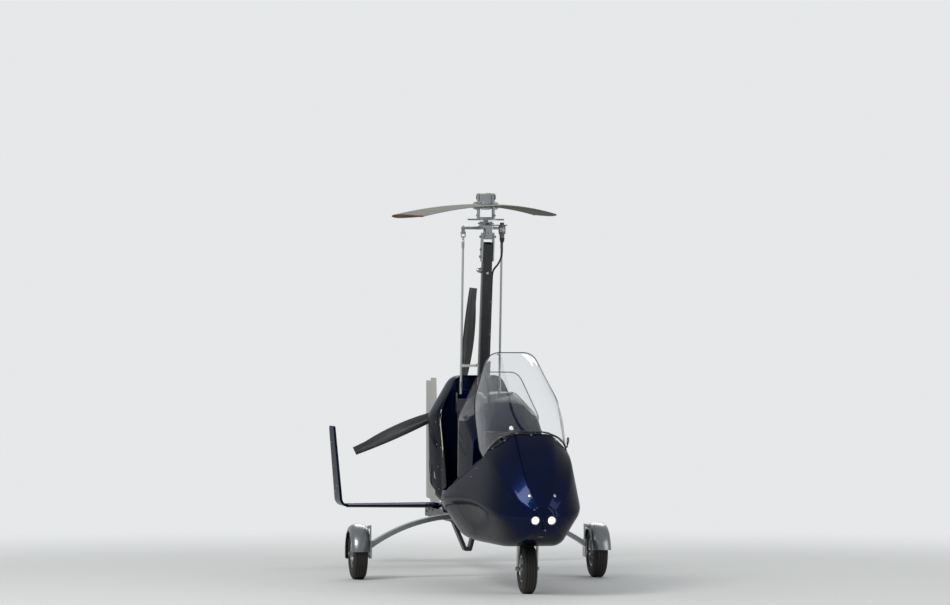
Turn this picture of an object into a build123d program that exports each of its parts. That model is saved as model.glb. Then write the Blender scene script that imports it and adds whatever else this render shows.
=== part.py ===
"""Open tandem two-seat gyroplane parked on its wheels, as separate sub-parts.

Frame: millimetres, +Z up, ground at Z 0, nose toward -Y, starboard side -X.
The origin lies on the ground under the hub of the rotor.
"""
from build123d import *
import os
from collections import namedtuple
from math import sin, cos, tan, radians, hypot, atan2, degrees

os.makedirs("parts", exist_ok=True)

# Wheels and gear.
MAIN_AXLE_Y = 330            # main wheels, behind the rotor hub
WHEEL_TRACK = 1740           # between the middles of the main tyres
MAIN_TYRE_R = 185
MAIN_TYRE_W = 104
MAIN_RIM_R = 102
NOSE_AXLE_Y = -1610
NOSE_TYRE_R = 168
NOSE_TYRE_W = 96
NOSE_RIM_R = 88
TYRE_CROWN = 34              # radius of the tyre shoulders
HUB_BORE = 20                # bore of every wheel hub
AXLE_PLAY = 0.3              # radial play of a hub on its axle
AXLE_PLATE_X = 782           # upright plate that carries a main axle
AXLE_PLATE_T = 14
LEG_STRAIGHT = 120           # half-width of the flat middle of the bow
LEG_T = 32
LEG_CHORD = 96
GUARD_GAP = 22               # tyre to mudguard
GUARD_W = 138
GUARD_T = 3
GUARD_CORNER = 26
GUARD_FRONT_DEG = 6          # how far the guard reaches below the axle, forward
GUARD_REAR_DEG = 14

# Hull.
HULL_WALL = 5
KEEL_W = 60
KEEL_H = 70
KEEL_WALL = 4
KEEL_Z = 397                 # middle of the keel tube
KEEL_FRONT_Y = -1380
KEEL_END_Y = 2560
HULL_END_Y = 330
SEAM = 0.8                   # joint line between body panels
SEAT_GAP = 0.3               # between pieces that rest on each other
WELL_R = 122                 # wheel well over the nose wheel
WELL_TOP_Z = 412
STEER_LEAD = 25              # steering axis ahead of the nose axle

# Mast and rotor head.
MAST_W = 65
MAST_D = 90
MAST_WALL = 4
MAST_FOOT_Y = 345
MAST_TOP_Z = 2395
MAST_LEAN = 12               # degrees forward
MAST_SLOT_TOP_Z = 810        # slot for the mast in the rear wall of the hull
PITCH_PIVOT_Z = 2440         # head tilts fore and aft here
ROLL_PIVOT_RISE = 26         # and sideways on a bolt this much higher
HEAD_BOLT_D = 14
CHEEK_T = 8
CHEEK_GAP = 72               # between the cheek plates on the mast
BRIDGE_Z = 2498              # underside of the head bridge
BRIDGE_T = 20
PREROTATOR_X = 98            # port side of the bridge, ahead of the rotor axis
PREROTATOR_Y = -103
PINION_R = 14
ROTOR_TILT = 2               # degrees, disc tipped to the nose
HUB_Z = 2662                 # blade plane on the rotor axis
BLADE_TURN = 17              # parked front blade, degrees from the nose to starboard
TEETER_RISE = 62             # teeter bolt above the blade plane
TEETER_BOLT_D = 16
TOWER_GAP = 92               # between the tower plates
TOWER_PLATE_T = 14
RING_GEAR_R = 129
RING_GEAR_T = 11
RING_GEAR_DROP = 92          # top of the ring gear under the blade plane
RING_TEETH = 72
HUB_BAR_HALF = 420
RUNNING_GAP = 5              # between pieces that move past each other
HUB_PLATE_T = 9
BLADE_R = 4200
BLADE_ROOT_R = 158
BLADE_CHORD = 200
BLADE_T = 25
BLADE_DROOP = 68             # sag of the parked tip

# Control rods.
ROD_X = 140
ROD_TOP_Y = 140
ROD_TOP_Z = 2474
ROD_FOOT_Y = 245
ROD_FOOT_Z = 1322
ROD_D = 16
JOINT_BLOCK = 20             # cross joint at the top of a rod
JOINT_DEPTH = 27
JOINT_PIN_D = 7
PIN_PLAY = 0.25

# Engine and propeller.
PROP_Z = 1240
PROP_Y = 1085                # blade plane
PROP_R = 860
PROP_HUB_R = 62
PROP_HUB_L = 70
PROP_TURN = 6                # first blade, degrees from up to port
PROP_BLADES = 3
SHAFT_D = 36
ENGINE_FRONT_Y = 420
ENGINE_LENGTH = 420
ENGINE_W = 300
ENGINE_H = 300
ENGINE_Z = 1150
CYLINDER_R = 52
CYLINDER_OUT = 232           # half-width over the cylinders
COWL_FRONT_Y = HULL_END_Y + SEAT_GAP
COWL_END_Y = 900
COWL_WALL = 4

# Tail.
STAB_HALF = 735
STAB_LE_Y = 2130
STAB_ROOT_CHORD = 470
STAB_TIP_CHORD = 330
STAB_T = 44
END_FIN_TOP_Z = 1055
END_FIN_T = 18
END_FIN_SPLAY = 30           # top of the end fins, outward
ELBOW_R = 42                 # tailplane to end fin
FIN_TOP_Z = 1425
FIN_T = 46
RUDDER_AXIS_Y = 2380
RUDDER_GAP = 12
RUDDER_TE_Y = 2680

# Cockpit.
SEAT_W = 400
SEAT_FRONT_Z = 560
SEAT_REAR_Z = 590
CUSHION_T = 70
LAMP_X = 54
LAMP_Z = 516
LAMP_R = 27
LAMP_Y = -2195

mast_lean_run = tan(radians(MAST_LEAN))
keel_top_z = KEEL_Z + KEEL_H / 2
bow_z = keel_top_z + LEG_T / 2
mast_foot_z = keel_top_z + LEG_T
steer_y = NOSE_AXLE_Y - STEER_LEAD
head_y = MAST_FOOT_Y - (PITCH_PIVOT_Z - mast_foot_z) * mast_lean_run


def upright(y):
    """Vertical cross plane at the station y: local X is +X, local Y is +Z."""
    return Plane.XZ.offset(-y)


def side_view(x=0):
    """Fore-and-aft plane at x: local X is +Y, local Y is +Z."""
    return Plane.YZ.offset(x)


# One row per hull station: bottom, bilge, rail and crown points of the half section.
Station = namedtuple("Station", "y bottom_x bottom_z bilge_x bilge_z rail_x rail_z crown_x crown_z r")
HULL_STATIONS = [
    Station(-2200, 48, 486, 92, 528, 74, 590, 36, 618, 22),
    Station(-2100, 118, 400, 222, 530, 178, 690, 84, 770, 60),
    Station(-1750, 192, 325, 334, 590, 272, 905, 128, 1078, 95),
    Station(-1000, 232, 318, 414, 615, 334, 862, 200, 1255, 110),
    Station(-200, 212, 340, 348, 580, 312, 860, 220, 1385, 105),
    Station(HULL_END_Y, 150, 336, 262, 490, 296, 1200, 160, 1444, 90),
]


def rounded_section(row, inset=0):
    """Closed rounded section of one station, drawn inside the skin by the inset."""
    half = [
        (row.bottom_x, row.bottom_z),
        (row.bilge_x, row.bilge_z),
        (row.rail_x, row.rail_z),
        (row.crown_x, row.crown_z),
    ]
    points = half + [(-x, z) for x, z in reversed(half)]
    with BuildSketch(upright(row.y)) as section:
        with BuildLine():
            Polyline(*points, close=True)
        make_face()
        if inset:
            offset(amount=-inset, kind=Kind.INTERSECTION)
        fillet(section.vertices(), max(row.r - inset, 5))
    return section.sketch


# Sill of both cockpits in side view, from the top of the nose to the rear arch.
SILL = [(-1750, 1072), (-1550, 908), (-695, 665), (-250, 656), (60, 664), (176, 716), (232, 860), (262, 1050)]
# Half outline of the shield-shaped hood, seen from the front.
HOOD_EDGE = [(292, 1000), (268, 800), (222, 690), (120, 592)]



def shrunk(row, y, share, z):
    """Station at y with a row's section shrunk toward the middle plane and the height z."""
    heights = {name: z + (getattr(row, name) - z) * share for name in row._fields if name.endswith("_z")}
    widths = {name: getattr(row, name) * share for name in row._fields if name.endswith("_x") or name == "r"}
    return row._replace(y=y, **heights, **widths)


nose = HULL_STATIONS[0]
with BuildPart() as hull_outer:
    loft([rounded_section(row) for row in HULL_STATIONS])
    loft([rounded_section(row) for row in (nose, shrunk(nose, nose.y - 13, 0.82, 548), shrunk(nose, nose.y - 20, 0.45, 546))])

end_walls = {HULL_STATIONS[0].y: HULL_WALL, HULL_END_Y: -HULL_WALL}
with BuildPart() as hull_inner:
    loft([rounded_section(row._replace(y=row.y + end_walls.get(row.y, 0)), HULL_WALL) for row in HULL_STATIONS])

with BuildPart() as hull_cutter:
    with BuildSketch(side_view()):
        with BuildLine():
            Polyline((-2050, 1700), (-2000, 1277), *SILL, (300, 1250), (300, 1700), close=True)
        make_face()
    extrude(amount=600, both=True)
    with BuildSketch(Plane.XY.offset(250)):
        with Locations((0, steer_y)):
            Circle(WELL_R + AXLE_PLAY)
    extrude(amount=120)
    with BuildSketch(upright(HULL_END_Y + 20)):
        with Locations((0, KEEL_Z)):
            Rectangle(KEEL_W + 0.6, KEEL_H + 0.6)
        with Locations((0, (mast_foot_z + MAST_SLOT_TOP_Z) / 2)):
            Rectangle(MAST_W + 6, MAST_SLOT_TOP_Z - mast_foot_z)
        with Locations((0, keel_top_z + 12)):
            Rectangle(800, LEG_T + 24)
    extrude(amount=HULL_END_Y + 20 - MAIN_AXLE_Y + LEG_CHORD / 2 + 6)
    with BuildSketch(upright(LAMP_Y + 60)):
        with Locations((LAMP_X, LAMP_Z), (-LAMP_X, LAMP_Z)):
            Circle(LAMP_R + SEAT_GAP)
    extrude(amount=160)

with BuildPart() as hull_shell:
    add(hull_outer.part)
    add(hull_inner.part, mode=Mode.SUBTRACT)
    add(hull_cutter.part, mode=Mode.SUBTRACT)


def shield(edge, y):
    """Prism behind the hood outline, from the station y forward past the nose."""
    with BuildPart() as prism:
        with BuildSketch(upright(y)):
            with BuildLine():
                Polyline(*edge, *[(-x, z) for x, z in reversed(edge)], (-edge[0][0], 1300), (edge[0][0], 1300), close=True)
            make_face()
        extrude(amount=800)
    return prism.part


with BuildPart() as nose_hood:
    add(hull_shell.part)
    add(shield(HOOD_EDGE, -1500), mode=Mode.INTERSECT)

with BuildPart() as hull:
    add(hull_shell.part)
    add(shield([(x + SEAM, z - SEAM) for x, z in HOOD_EDGE], -1500 + SEAM), mode=Mode.SUBTRACT)

# Front and rear screens.
SCREEN_WALL = 4
SCREEN_STATIONS = [
    Station(-1765, 296, 760, 258, 900, 186, 1016, 116, 1080, 40),
    Station(-1540, 322, 760, 294, 905, 262, 1155, 130, 1314, 70),
    Station(-1290, 322, 760, 314, 905, 292, 1255, 150, 1485, 100),
    Station(-985, 318, 760, 312, 905, 272, 1385, 150, 1632, 110),
]
SCREEN_FRONT_Y = -1756
SCREEN_REAR_Y = -1004
sill_slope = (SILL[0][1] - SILL[1][1]) / (SILL[1][0] - SILL[0][0])
screen_foot_z = SILL[1][1] + 2 * SEAT_GAP
screen_tip_z = screen_foot_z + (SILL[1][0] - SCREEN_FRONT_Y) * sill_slope
SCREEN_EDGE = [(-1440, 960), (-1250, 1200), (-1050, 1480), (SCREEN_REAR_Y, 1560), (SCREEN_REAR_Y, 1700)]

with BuildPart() as windscreen_front:
    loft([rounded_section(row) for row in SCREEN_STATIONS])
    loft([rounded_section(row, SCREEN_WALL) for row in SCREEN_STATIONS], mode=Mode.SUBTRACT)
    with BuildSketch(side_view()):
        with BuildLine():
            foot = [(SCREEN_FRONT_Y, 1700), (SCREEN_FRONT_Y, screen_tip_z), (SILL[1][0], screen_foot_z)]
            Polyline(*foot, *SCREEN_EDGE, close=True)
        make_face()
    extrude(amount=500, both=True, mode=Mode.INTERSECT)


# Fairing between the seats.
FAIRING_WALL = 4
FLOOR_T = 8
floor_top_z = keel_top_z + FLOOR_T
FAIRING_STATIONS = [
    Station(-900, 236, 400, 262, 640, 244, 1010, 112, 1120, 60),
    Station(-690, 240, 400, 272, 660, 262, 1130, 124, 1262, 70),
    Station(-430, 240, 400, 276, 680, 268, 1200, 134, 1344, 75),
]
with BuildPart() as fairing:
    loft([rounded_section(row) for row in FAIRING_STATIONS])
    hollow = [FAIRING_STATIONS[0]._replace(y=-900 + FAIRING_WALL)] + FAIRING_STATIONS[1:-1]
    hollow += [FAIRING_STATIONS[-1]._replace(y=-425)]
    loft([rounded_section(row, FAIRING_WALL) for row in hollow], mode=Mode.SUBTRACT)
    with BuildSketch(Plane.XY.offset(floor_top_z)):
        with Locations((0, -700)):
            Rectangle(700, 700)
    extrude(amount=-120, mode=Mode.SUBTRACT)

REAR_SCREEN_WALL = 3
REAR_SCREEN_FOOT_Z = 1140
rear_foot = FAIRING_STATIONS[1]
rear_rim = rear_foot._replace(y=rear_foot.y + 190, bilge_x=300, rail_x=288, rail_z=1180, crown_x=140, crown_z=1500, r=95)
with BuildPart() as windscreen_rear:
    loft([rounded_section(rear_foot, -2 * SEAT_GAP - REAR_SCREEN_WALL), rounded_section(rear_rim)], ruled=True)
    loft([rounded_section(rear_foot, -2 * SEAT_GAP), rounded_section(rear_rim, REAR_SCREEN_WALL)], ruled=True, mode=Mode.SUBTRACT)
    split(bisect_by=Plane.XY.offset(REAR_SCREEN_FOOT_Z), keep=Keep.TOP)

def plain_block(x, y0, y1, z0, z1, r=0):
    """Block across the middle plane with its edges rounded."""
    with BuildPart() as block:
        with BuildSketch(side_view()):
            with Locations(((y0 + y1) / 2, (z0 + z1) / 2)):
                if r:
                    RectangleRounded(y1 - y0, z1 - z0, r)
                else:
                    Rectangle(y1 - y0, z1 - z0)
        extrude(amount=x, both=True)
    return block


FLOOR_EDGE = [(120, -1860), (185, -1700), (240, -1400), (270, -1000), (258, -600), (222, -200), (180, 100)]
with BuildPart() as cockpit_tub:
    with BuildSketch(Plane.XY.offset(keel_top_z)):
        with BuildLine():
            half = FLOOR_EDGE + [(150, MAIN_AXLE_Y - LEG_CHORD / 2 - 12)]
            Polyline(*half, *[(-x, y) for x, y in reversed(half)], close=True)
        make_face()
    extrude(amount=FLOOR_T)
    add(plain_block(SEAT_W / 2, -1330, -905, keel_top_z, SEAT_FRONT_Z).part)
    add(plain_block(SEAT_W / 2 - 15, -395, 57, keel_top_z, SEAT_REAR_Z).part)
    add(plain_block(SEAT_W / 2 - 5, 43, 57, keel_top_z, 1290, 5).part)

cushion_front = plain_block(SEAT_W / 2, -1330, -975, SEAT_FRONT_Z, SEAT_FRONT_Z + CUSHION_T, 25)
cushion_rear = plain_block(SEAT_W / 2 - 15, -395, -36, SEAT_REAR_Z, SEAT_REAR_Z + CUSHION_T, 25)
backrest_front = plain_block(SEAT_W / 2, -975 + SEAT_GAP, -901, SEAT_FRONT_Z + SEAT_GAP, 1095, 30)
backrest_rear = plain_block(SEAT_W / 2, -36 + SEAT_GAP, 42, SEAT_REAR_Z + SEAT_GAP, 1240, 30)

with BuildPart() as instrument_panel:
    with BuildSketch(side_view()):
        with BuildLine():
            Polyline((-1560, 860), (-1560, 960), (-1500, 1040), (-1462, 1040), (-1462, 800), (-1500, 780), close=True)
        make_face()
    extrude(amount=165, both=True)
    with BuildSketch(Plane.XY.offset(floor_top_z)):
        with Locations((0, -1515)):
            RectangleRounded(90, 60, 10)
    extrude(amount=800 - floor_top_z)


def control_stick(y, top_z):
    """Control stick on a floor boss at the station y."""
    with BuildPart() as stick:
        with BuildSketch(Plane.XY.offset(floor_top_z)):
            with Locations((0, y)):
                Circle(26)
        extrude(amount=30)
        with BuildSketch(Plane.XY.offset(floor_top_z)):
            with Locations((0, y)):
                Circle(10)
        extrude(amount=top_z - floor_top_z - 100)
        with BuildSketch(Plane.XY.offset(top_z - 110)):
            with Locations((0, y)):
                Circle(17)
        extrude(amount=110)
    return stick


stick_front = control_stick(-1385, 790)
stick_rear = control_stick(-470, 780)

with BuildPart() as pedals:
    with BuildSketch(side_view()):
        with Locations((-1760, floor_top_z + 16)):
            Circle(16)
    extrude(amount=150, both=True)
    for x in (-95, 95):
        with BuildSketch(side_view(x)):
            with BuildLine():
                Polyline((-1772, floor_top_z + 16), (-1748, floor_top_z + 16), (-1770, floor_top_z + 140), (-1790, floor_top_z + 140), close=True)
            make_face()
        extrude(amount=40, both=True)

# Keel and mast.
with BuildPart() as keel:
    with BuildSketch(upright(KEEL_FRONT_Y)):
        with Locations((0, KEEL_Z)):
            Rectangle(KEEL_W, KEEL_H)
            Rectangle(KEEL_W - 2 * KEEL_WALL, KEEL_H - 2 * KEEL_WALL, mode=Mode.SUBTRACT)
    extrude(amount=KEEL_FRONT_Y - KEEL_END_Y)

mast_plane = Plane(
    origin=(0, MAST_FOOT_Y, mast_foot_z), x_dir=(1, 0, 0), z_dir=(0, -sin(radians(MAST_LEAN)), cos(radians(MAST_LEAN)))
)
mast_length = (MAST_TOP_Z - mast_foot_z) / cos(radians(MAST_LEAN))
with BuildPart() as mast:
    with BuildSketch(mast_plane.offset(-40)):
        RectangleRounded(MAST_W, MAST_D, 8)
        RectangleRounded(MAST_W - 2 * MAST_WALL, MAST_D - 2 * MAST_WALL, 4, mode=Mode.SUBTRACT)
    extrude(amount=mast_length + 40)
    split(bisect_by=Plane.XY.offset(mast_foot_z), keep=Keep.TOP)


def along_mast(z):
    """Point on the middle line of the mast at the height z."""
    return (0, MAST_FOOT_Y - (z - mast_foot_z) * mast_lean_run, z)


# Cheek plates that carry the pitch bolt above the mast.
roll_z = PITCH_PIVOT_Z + ROLL_PIVOT_RISE
with BuildPart() as mast_head:
    for side in (-1, 1):
        x0 = side * CHEEK_GAP / 2
        with BuildSketch(side_view(x0)):
            with BuildLine():
                Polyline(
                    (head_y - 30, roll_z + 2), (head_y + 30, roll_z + 2), (head_y + 62, 2330), (head_y + 62, 2265),
                    (head_y - 6, 2265), (head_y - 34, 2400), close=True,
                )
            make_face()
        extrude(amount=side * CHEEK_T)
        with BuildSketch(side_view(side * MAST_W / 2)):
            with Locations((along_mast(2310)[1], 2310)):
                Rectangle(40, 40)
        extrude(amount=side * (CHEEK_GAP - MAST_W) / 2)
    with BuildSketch(side_view(-CHEEK_GAP / 2 - CHEEK_T - 8)):
        with Locations((head_y, PITCH_PIVOT_Z)):
            Circle(HEAD_BOLT_D / 2)
    extrude(amount=CHEEK_GAP + 2 * CHEEK_T + 16)

# Rotor head.
GIMBAL_HALF = 28
with BuildPart() as gimbal_block:
    with BuildSketch(side_view()):
        with Locations((head_y, (PITCH_PIVOT_Z + roll_z) / 2)):
            RectangleRounded(58, 62, 8)
        with Locations((head_y, PITCH_PIVOT_Z)):
            Circle(HEAD_BOLT_D / 2 + AXLE_PLAY, mode=Mode.SUBTRACT)
    extrude(amount=GIMBAL_HALF, both=True)
    with BuildSketch(upright(head_y + 60)):
        with Locations((0, roll_z)):
            Circle(HEAD_BOLT_D / 2)
    extrude(amount=120)

LUG_GAP = 70
LUG_T = 12
with BuildPart() as head_bridge:
    with BuildSketch(Plane.XY.offset(BRIDGE_Z)):
        with Locations((0, (head_y + ROD_TOP_Y) / 2)):
            RectangleRounded(74, ROD_TOP_Y - head_y + 110, 14)
    extrude(amount=BRIDGE_T)
    for side in (-1, 1):
        y0 = head_y + side * LUG_GAP / 2
        with BuildSketch(upright(y0)):
            with Locations((0, roll_z + 6)):
                RectangleRounded(44, 54, 12)
            with Locations((0, BRIDGE_Z - 5)):
                Rectangle(44, 14)
            with Locations((0, roll_z)):
                Circle(HEAD_BOLT_D / 2 + AXLE_PLAY, mode=Mode.SUBTRACT)
        extrude(amount=-side * LUG_T)
    with BuildSketch(side_view()):
        with Locations((ROD_TOP_Y, BRIDGE_Z + BRIDGE_T / 2)):
            RectangleRounded(34, BRIDGE_T, 5)
    extrude(amount=ROD_X + 12, both=True)
    for x in (-ROD_X, ROD_X):
        for side in (-1, 1):
            with BuildSketch(upright(ROD_TOP_Y + side * (JOINT_DEPTH / 2 + 0.5))):
                with Locations((x, (BRIDGE_Z + ROD_TOP_Z - 9) / 2)):
                    Rectangle(18, BRIDGE_Z - ROD_TOP_Z + 9)
            extrude(amount=-side * 6)
        with BuildSketch(upright(ROD_TOP_Y)):
            with Locations((x, ROD_TOP_Z)):
                Circle(JOINT_PIN_D / 2)
        extrude(amount=JOINT_DEPTH / 2 + 6.5, both=True)

PINION_TEETH = 12
with BuildPart() as prerotator:
    with BuildSketch(Plane.XY.offset(BRIDGE_Z + BRIDGE_T)):
        with Locations((PREROTATOR_X / 2 + 8, PREROTATOR_Y)):
            RectangleRounded(PREROTATOR_X + 56, 56, 12)
    extrude(amount=6)
    with BuildSketch(Plane.XY.offset(BRIDGE_Z + BRIDGE_T)):
        with Locations((PREROTATOR_X, PREROTATOR_Y)):
            Circle(24)
    extrude(amount=-60)
    with BuildSketch(Plane.XY.offset(BRIDGE_Z + BRIDGE_T - 60)):
        with Locations((PREROTATOR_X, PREROTATOR_Y)):
            Circle(15)
    extrude(amount=-26)
    with BuildSketch(Plane.XY.offset(BRIDGE_Z + BRIDGE_T + 6)):
        with Locations((PREROTATOR_X, PREROTATOR_Y)):
            Circle(PINION_R - 4)
            with PolarLocations(PINION_R - 3, PINION_TEETH):
                Rectangle(8, 4)
    extrude(amount=16)

tilt, turn = radians(ROTOR_TILT), radians(-BLADE_TURN)
rotor_plane = Plane(
    origin=(0, 0, HUB_Z), x_dir=(cos(turn), sin(turn) * cos(tilt), sin(turn) * sin(tilt)), z_dir=(0, -sin(tilt), cos(tilt))
)
BEARING_R = 46
RING_Z = -RING_GEAR_DROP
with BuildPart() as bearing_housing:
    with BuildSketch(rotor_plane.offset(RING_Z - RING_GEAR_T - 8)):
        Circle(BEARING_R)
    extrude(amount=-70)
    split(bisect_by=Plane.XY.offset(BRIDGE_Z + BRIDGE_T), keep=Keep.TOP)
    with BuildSketch(rotor_plane.offset(RING_Z - RING_GEAR_T - 8)):
        Circle(18)
    extrude(amount=8 - AXLE_PLAY)

with BuildPart() as rotor_tower:
    with BuildSketch(rotor_plane.offset(RING_Z)):
        Circle(RING_GEAR_R - 5)
    extrude(amount=-RING_GEAR_T)
    with BuildSketch(rotor_plane.offset(RING_Z)):
        with PolarLocations(RING_GEAR_R - 4, RING_TEETH):
            Rectangle(9, 5)
    extrude(amount=-RING_GEAR_T)
    with BuildSketch(rotor_plane.offset(RING_Z)):
        with PolarLocations(88, 6, start_angle=30):
            Circle(22)
    extrude(amount=-RING_GEAR_T, mode=Mode.SUBTRACT)
    with BuildSketch(rotor_plane.offset(RING_Z)):
        Rectangle(TOWER_GAP + 2 * TOWER_PLATE_T, 78)
    extrude(amount=12)
    for side in (-1, 1):
        with BuildSketch(rotor_plane.offset(RING_Z)):
            with Locations((side * (TOWER_GAP + TOWER_PLATE_T) / 2, 0)):
                Rectangle(TOWER_PLATE_T, 74)
        extrude(amount=TEETER_RISE - RING_Z + 26)
    bolt_plane = Plane(
        origin=rotor_plane.from_local_coords((-TOWER_GAP / 2 - TOWER_PLATE_T - 9, 0, TEETER_RISE)),
        x_dir=rotor_plane.y_dir, z_dir=rotor_plane.x_dir,
    )
    with BuildSketch(bolt_plane):
        Circle(TEETER_BOLT_D / 2)
    extrude(amount=TOWER_GAP + 2 * TOWER_PLATE_T + 18)

# Rotor.
plate_z = BLADE_T / 2 + 0.5
hub_bar_w = TOWER_GAP - 2 * RUNNING_GAP
with BuildPart() as hub_bar:
    for z, up in ((plate_z, 1), (-plate_z, -1)):
        with BuildSketch(rotor_plane.offset(z)):
            RectangleRounded(hub_bar_w, 2 * HUB_BAR_HALF, 20)
        extrude(amount=up * HUB_PLATE_T)
    with BuildSketch(rotor_plane.offset(-plate_z)):
        Rectangle(TOWER_GAP - 12, 2 * BLADE_ROOT_R - 12)
    extrude(amount=2 * plate_z)
    with BuildSketch(rotor_plane.offset(plate_z + HUB_PLATE_T)):
        Rectangle(TOWER_GAP - 12, 76)
    extrude(amount=TEETER_RISE - plate_z - HUB_PLATE_T + 20)
    with BuildSketch(bolt_plane):
        Circle(TEETER_BOLT_D / 2 + AXLE_PLAY)
    extrude(amount=TOWER_GAP + 2 * TOWER_PLATE_T + 18, mode=Mode.SUBTRACT)


def wing_section(plane, chord, thick, back=0.7):
    """Section with a round nose at local X 0 and its thin edge at local X chord."""
    with BuildSketch(plane) as section:
        with BuildLine():
            Polyline((0.3 * chord, thick / 2), (back * chord, 0.3 * thick), (chord, 1.2), (chord, -1.2),
                     (back * chord, -0.3 * thick), (0.3 * chord, -thick / 2))
            Bezier((0.3 * chord, -thick / 2), (0.08 * chord, -thick / 2), (0, -0.3 * thick), (0, 0))
            Bezier((0, 0), (0, 0.3 * thick), (0.08 * chord, thick / 2), (0.3 * chord, thick / 2))
        make_face()
    return section.sketch


def rotor_blade(side):
    """Blade along the hub bar, drooping under its own weight toward the tip."""
    sections = []
    for radius in (BLADE_ROOT_R, 1500, 2900, BLADE_R):
        span = (radius - BLADE_ROOT_R) / (BLADE_R - BLADE_ROOT_R)
        origin = rotor_plane.from_local_coords((side * 0.28 * BLADE_CHORD, side * radius, -BLADE_DROOP * span**2))
        plane = Plane(origin=origin, x_dir=-rotor_plane.x_dir * side, z_dir=rotor_plane.y_dir * side)
        sections.append(wing_section(plane, BLADE_CHORD, BLADE_T if radius > BLADE_ROOT_R else BLADE_T - 0.6))
    with BuildPart() as blade:
        loft(sections)
    return blade


rotor_blade_front = rotor_blade(-1)
rotor_blade_rear = rotor_blade(1)

# Control rods.
def rod_joint(side):
    """Cross block between the head bridge and a rod."""
    with BuildPart() as block:
        with BuildSketch(upright(ROD_TOP_Y)):
            with Locations((side * ROD_X, ROD_TOP_Z)):
                RectangleRounded(JOINT_BLOCK, JOINT_BLOCK, 4)
                Circle(JOINT_PIN_D / 2 + PIN_PLAY, mode=Mode.SUBTRACT)
        extrude(amount=JOINT_DEPTH / 2, both=True)
        for out in (-1, 1):
            with BuildSketch(side_view(side * ROD_X + out * (JOINT_BLOCK / 2 - 1))):
                with Locations((ROD_TOP_Y, ROD_TOP_Z)):
                    Circle(JOINT_PIN_D / 2)
            extrude(amount=out * 10)
    return block


def control_rod(side):
    """Push rod with the fork that holds the cross block."""
    x = side * ROD_X
    lean = degrees(atan2(ROD_FOOT_Y - ROD_TOP_Y, ROD_TOP_Z - ROD_FOOT_Z))
    with BuildPart() as rod:
        for out in (-1, 1):
            with BuildSketch(side_view(x + out * (JOINT_BLOCK / 2 + 1.5))):
                with Locations((ROD_TOP_Y, ROD_TOP_Z - 12)):
                    RectangleRounded(16, 42, 5)
                with Locations((ROD_TOP_Y, ROD_TOP_Z)):
                    Circle(JOINT_PIN_D / 2 + PIN_PLAY, mode=Mode.SUBTRACT)
            extrude(amount=out * 5.5)
        with BuildSketch(side_view(x)):
            with Locations((ROD_TOP_Y, ROD_TOP_Z - 29)):
                Rectangle(16, 10)
        extrude(amount=JOINT_BLOCK / 2 + 3, both=True)
        foot = Plane(origin=(x, ROD_FOOT_Y, ROD_FOOT_Z), x_dir=(1, 0, 0), z_dir=(0, -sin(radians(lean)), cos(radians(lean))))
        with BuildSketch(foot):
            Circle(ROD_D / 2)
        extrude(amount=hypot(ROD_FOOT_Y - ROD_TOP_Y, ROD_TOP_Z - ROD_FOOT_Z) - 28)
    return rod


rod_joint_right, rod_joint_left = rod_joint(-1), rod_joint(1)
rod_right, rod_left = control_rod(-1), control_rod(1)

CRANK_Z = 1200
CRANK_Y = 256
with BuildPart() as control_levers:
    with BuildSketch(side_view()):
        with Locations((CRANK_Y, CRANK_Z)):
            Circle(14)
    extrude(amount=ROD_X + 34, both=True)
    with BuildSketch(side_view()):
        with Locations((215, CRANK_Z)):
            Rectangle(110, 36)
    extrude(amount=MAST_W / 2 + 8, both=True)
    with BuildSketch(side_view()):
        with Locations((180, CRANK_Z)):
            Rectangle(200, 60)
    extrude(amount=MAST_W / 2, both=True, mode=Mode.SUBTRACT)
    for side in (-1, 1):
        with BuildSketch(side_view(side * (ROD_X + 26))):
            with Locations((CRANK_Y - 6, CRANK_Z + 62)):
                Rectangle(26, 140)
        extrude(amount=side * 8)

with BuildPart() as mast_arm:
    with BuildSketch(Plane.XY.offset(1516)):
        with Locations((-(MAST_W / 2 + 66), along_mast(1525)[1])):
            Rectangle(132, 34)
        with Locations(*[(-MAST_W / 2 - 28 - 26 * k, along_mast(1525)[1]) for k in range(4)]):
            Circle(8, mode=Mode.SUBTRACT)
    extrude(amount=18)

# Engine.
gear_end_y = ENGINE_FRONT_Y + ENGINE_LENGTH
with BuildPart() as engine:
    with BuildSketch(upright(ENGINE_FRONT_Y)):
        with Locations((0, ENGINE_Z)):
            RectangleRounded(ENGINE_W * 0.7, ENGINE_H, 30)
    extrude(amount=-ENGINE_LENGTH)
    for y in (ENGINE_FRONT_Y + 110, ENGINE_FRONT_Y + 290):
        with BuildSketch(side_view(-CYLINDER_OUT)):
            with Locations((y, ENGINE_Z - 20)):
                Circle(CYLINDER_R)
        extrude(amount=2 * CYLINDER_OUT)
        for k in range(6):
            for side in (-1, 1):
                with BuildSketch(side_view(side * (ENGINE_W * 0.35 + 8 + 17 * k))):
                    with Locations((y, ENGINE_Z - 20)):
                        Circle(CYLINDER_R + 20)
                extrude(amount=side * 7)
    with BuildSketch(upright(gear_end_y)):
        with Locations((0, PROP_Z - 50)):
            RectangleRounded(190, 250, 70)
    extrude(amount=-95)
    with BuildSketch(upright(gear_end_y + 95)):
        with Locations((0, PROP_Z)):
            Circle(58)
    extrude(amount=-30)
    with BuildSketch(upright(gear_end_y + 125)):
        with Locations((0, PROP_Z)):
            Circle(SHAFT_D / 2)
    extrude(amount=-(PROP_Y + PROP_HUB_L / 2 + 4 - gear_end_y - 125))

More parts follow.
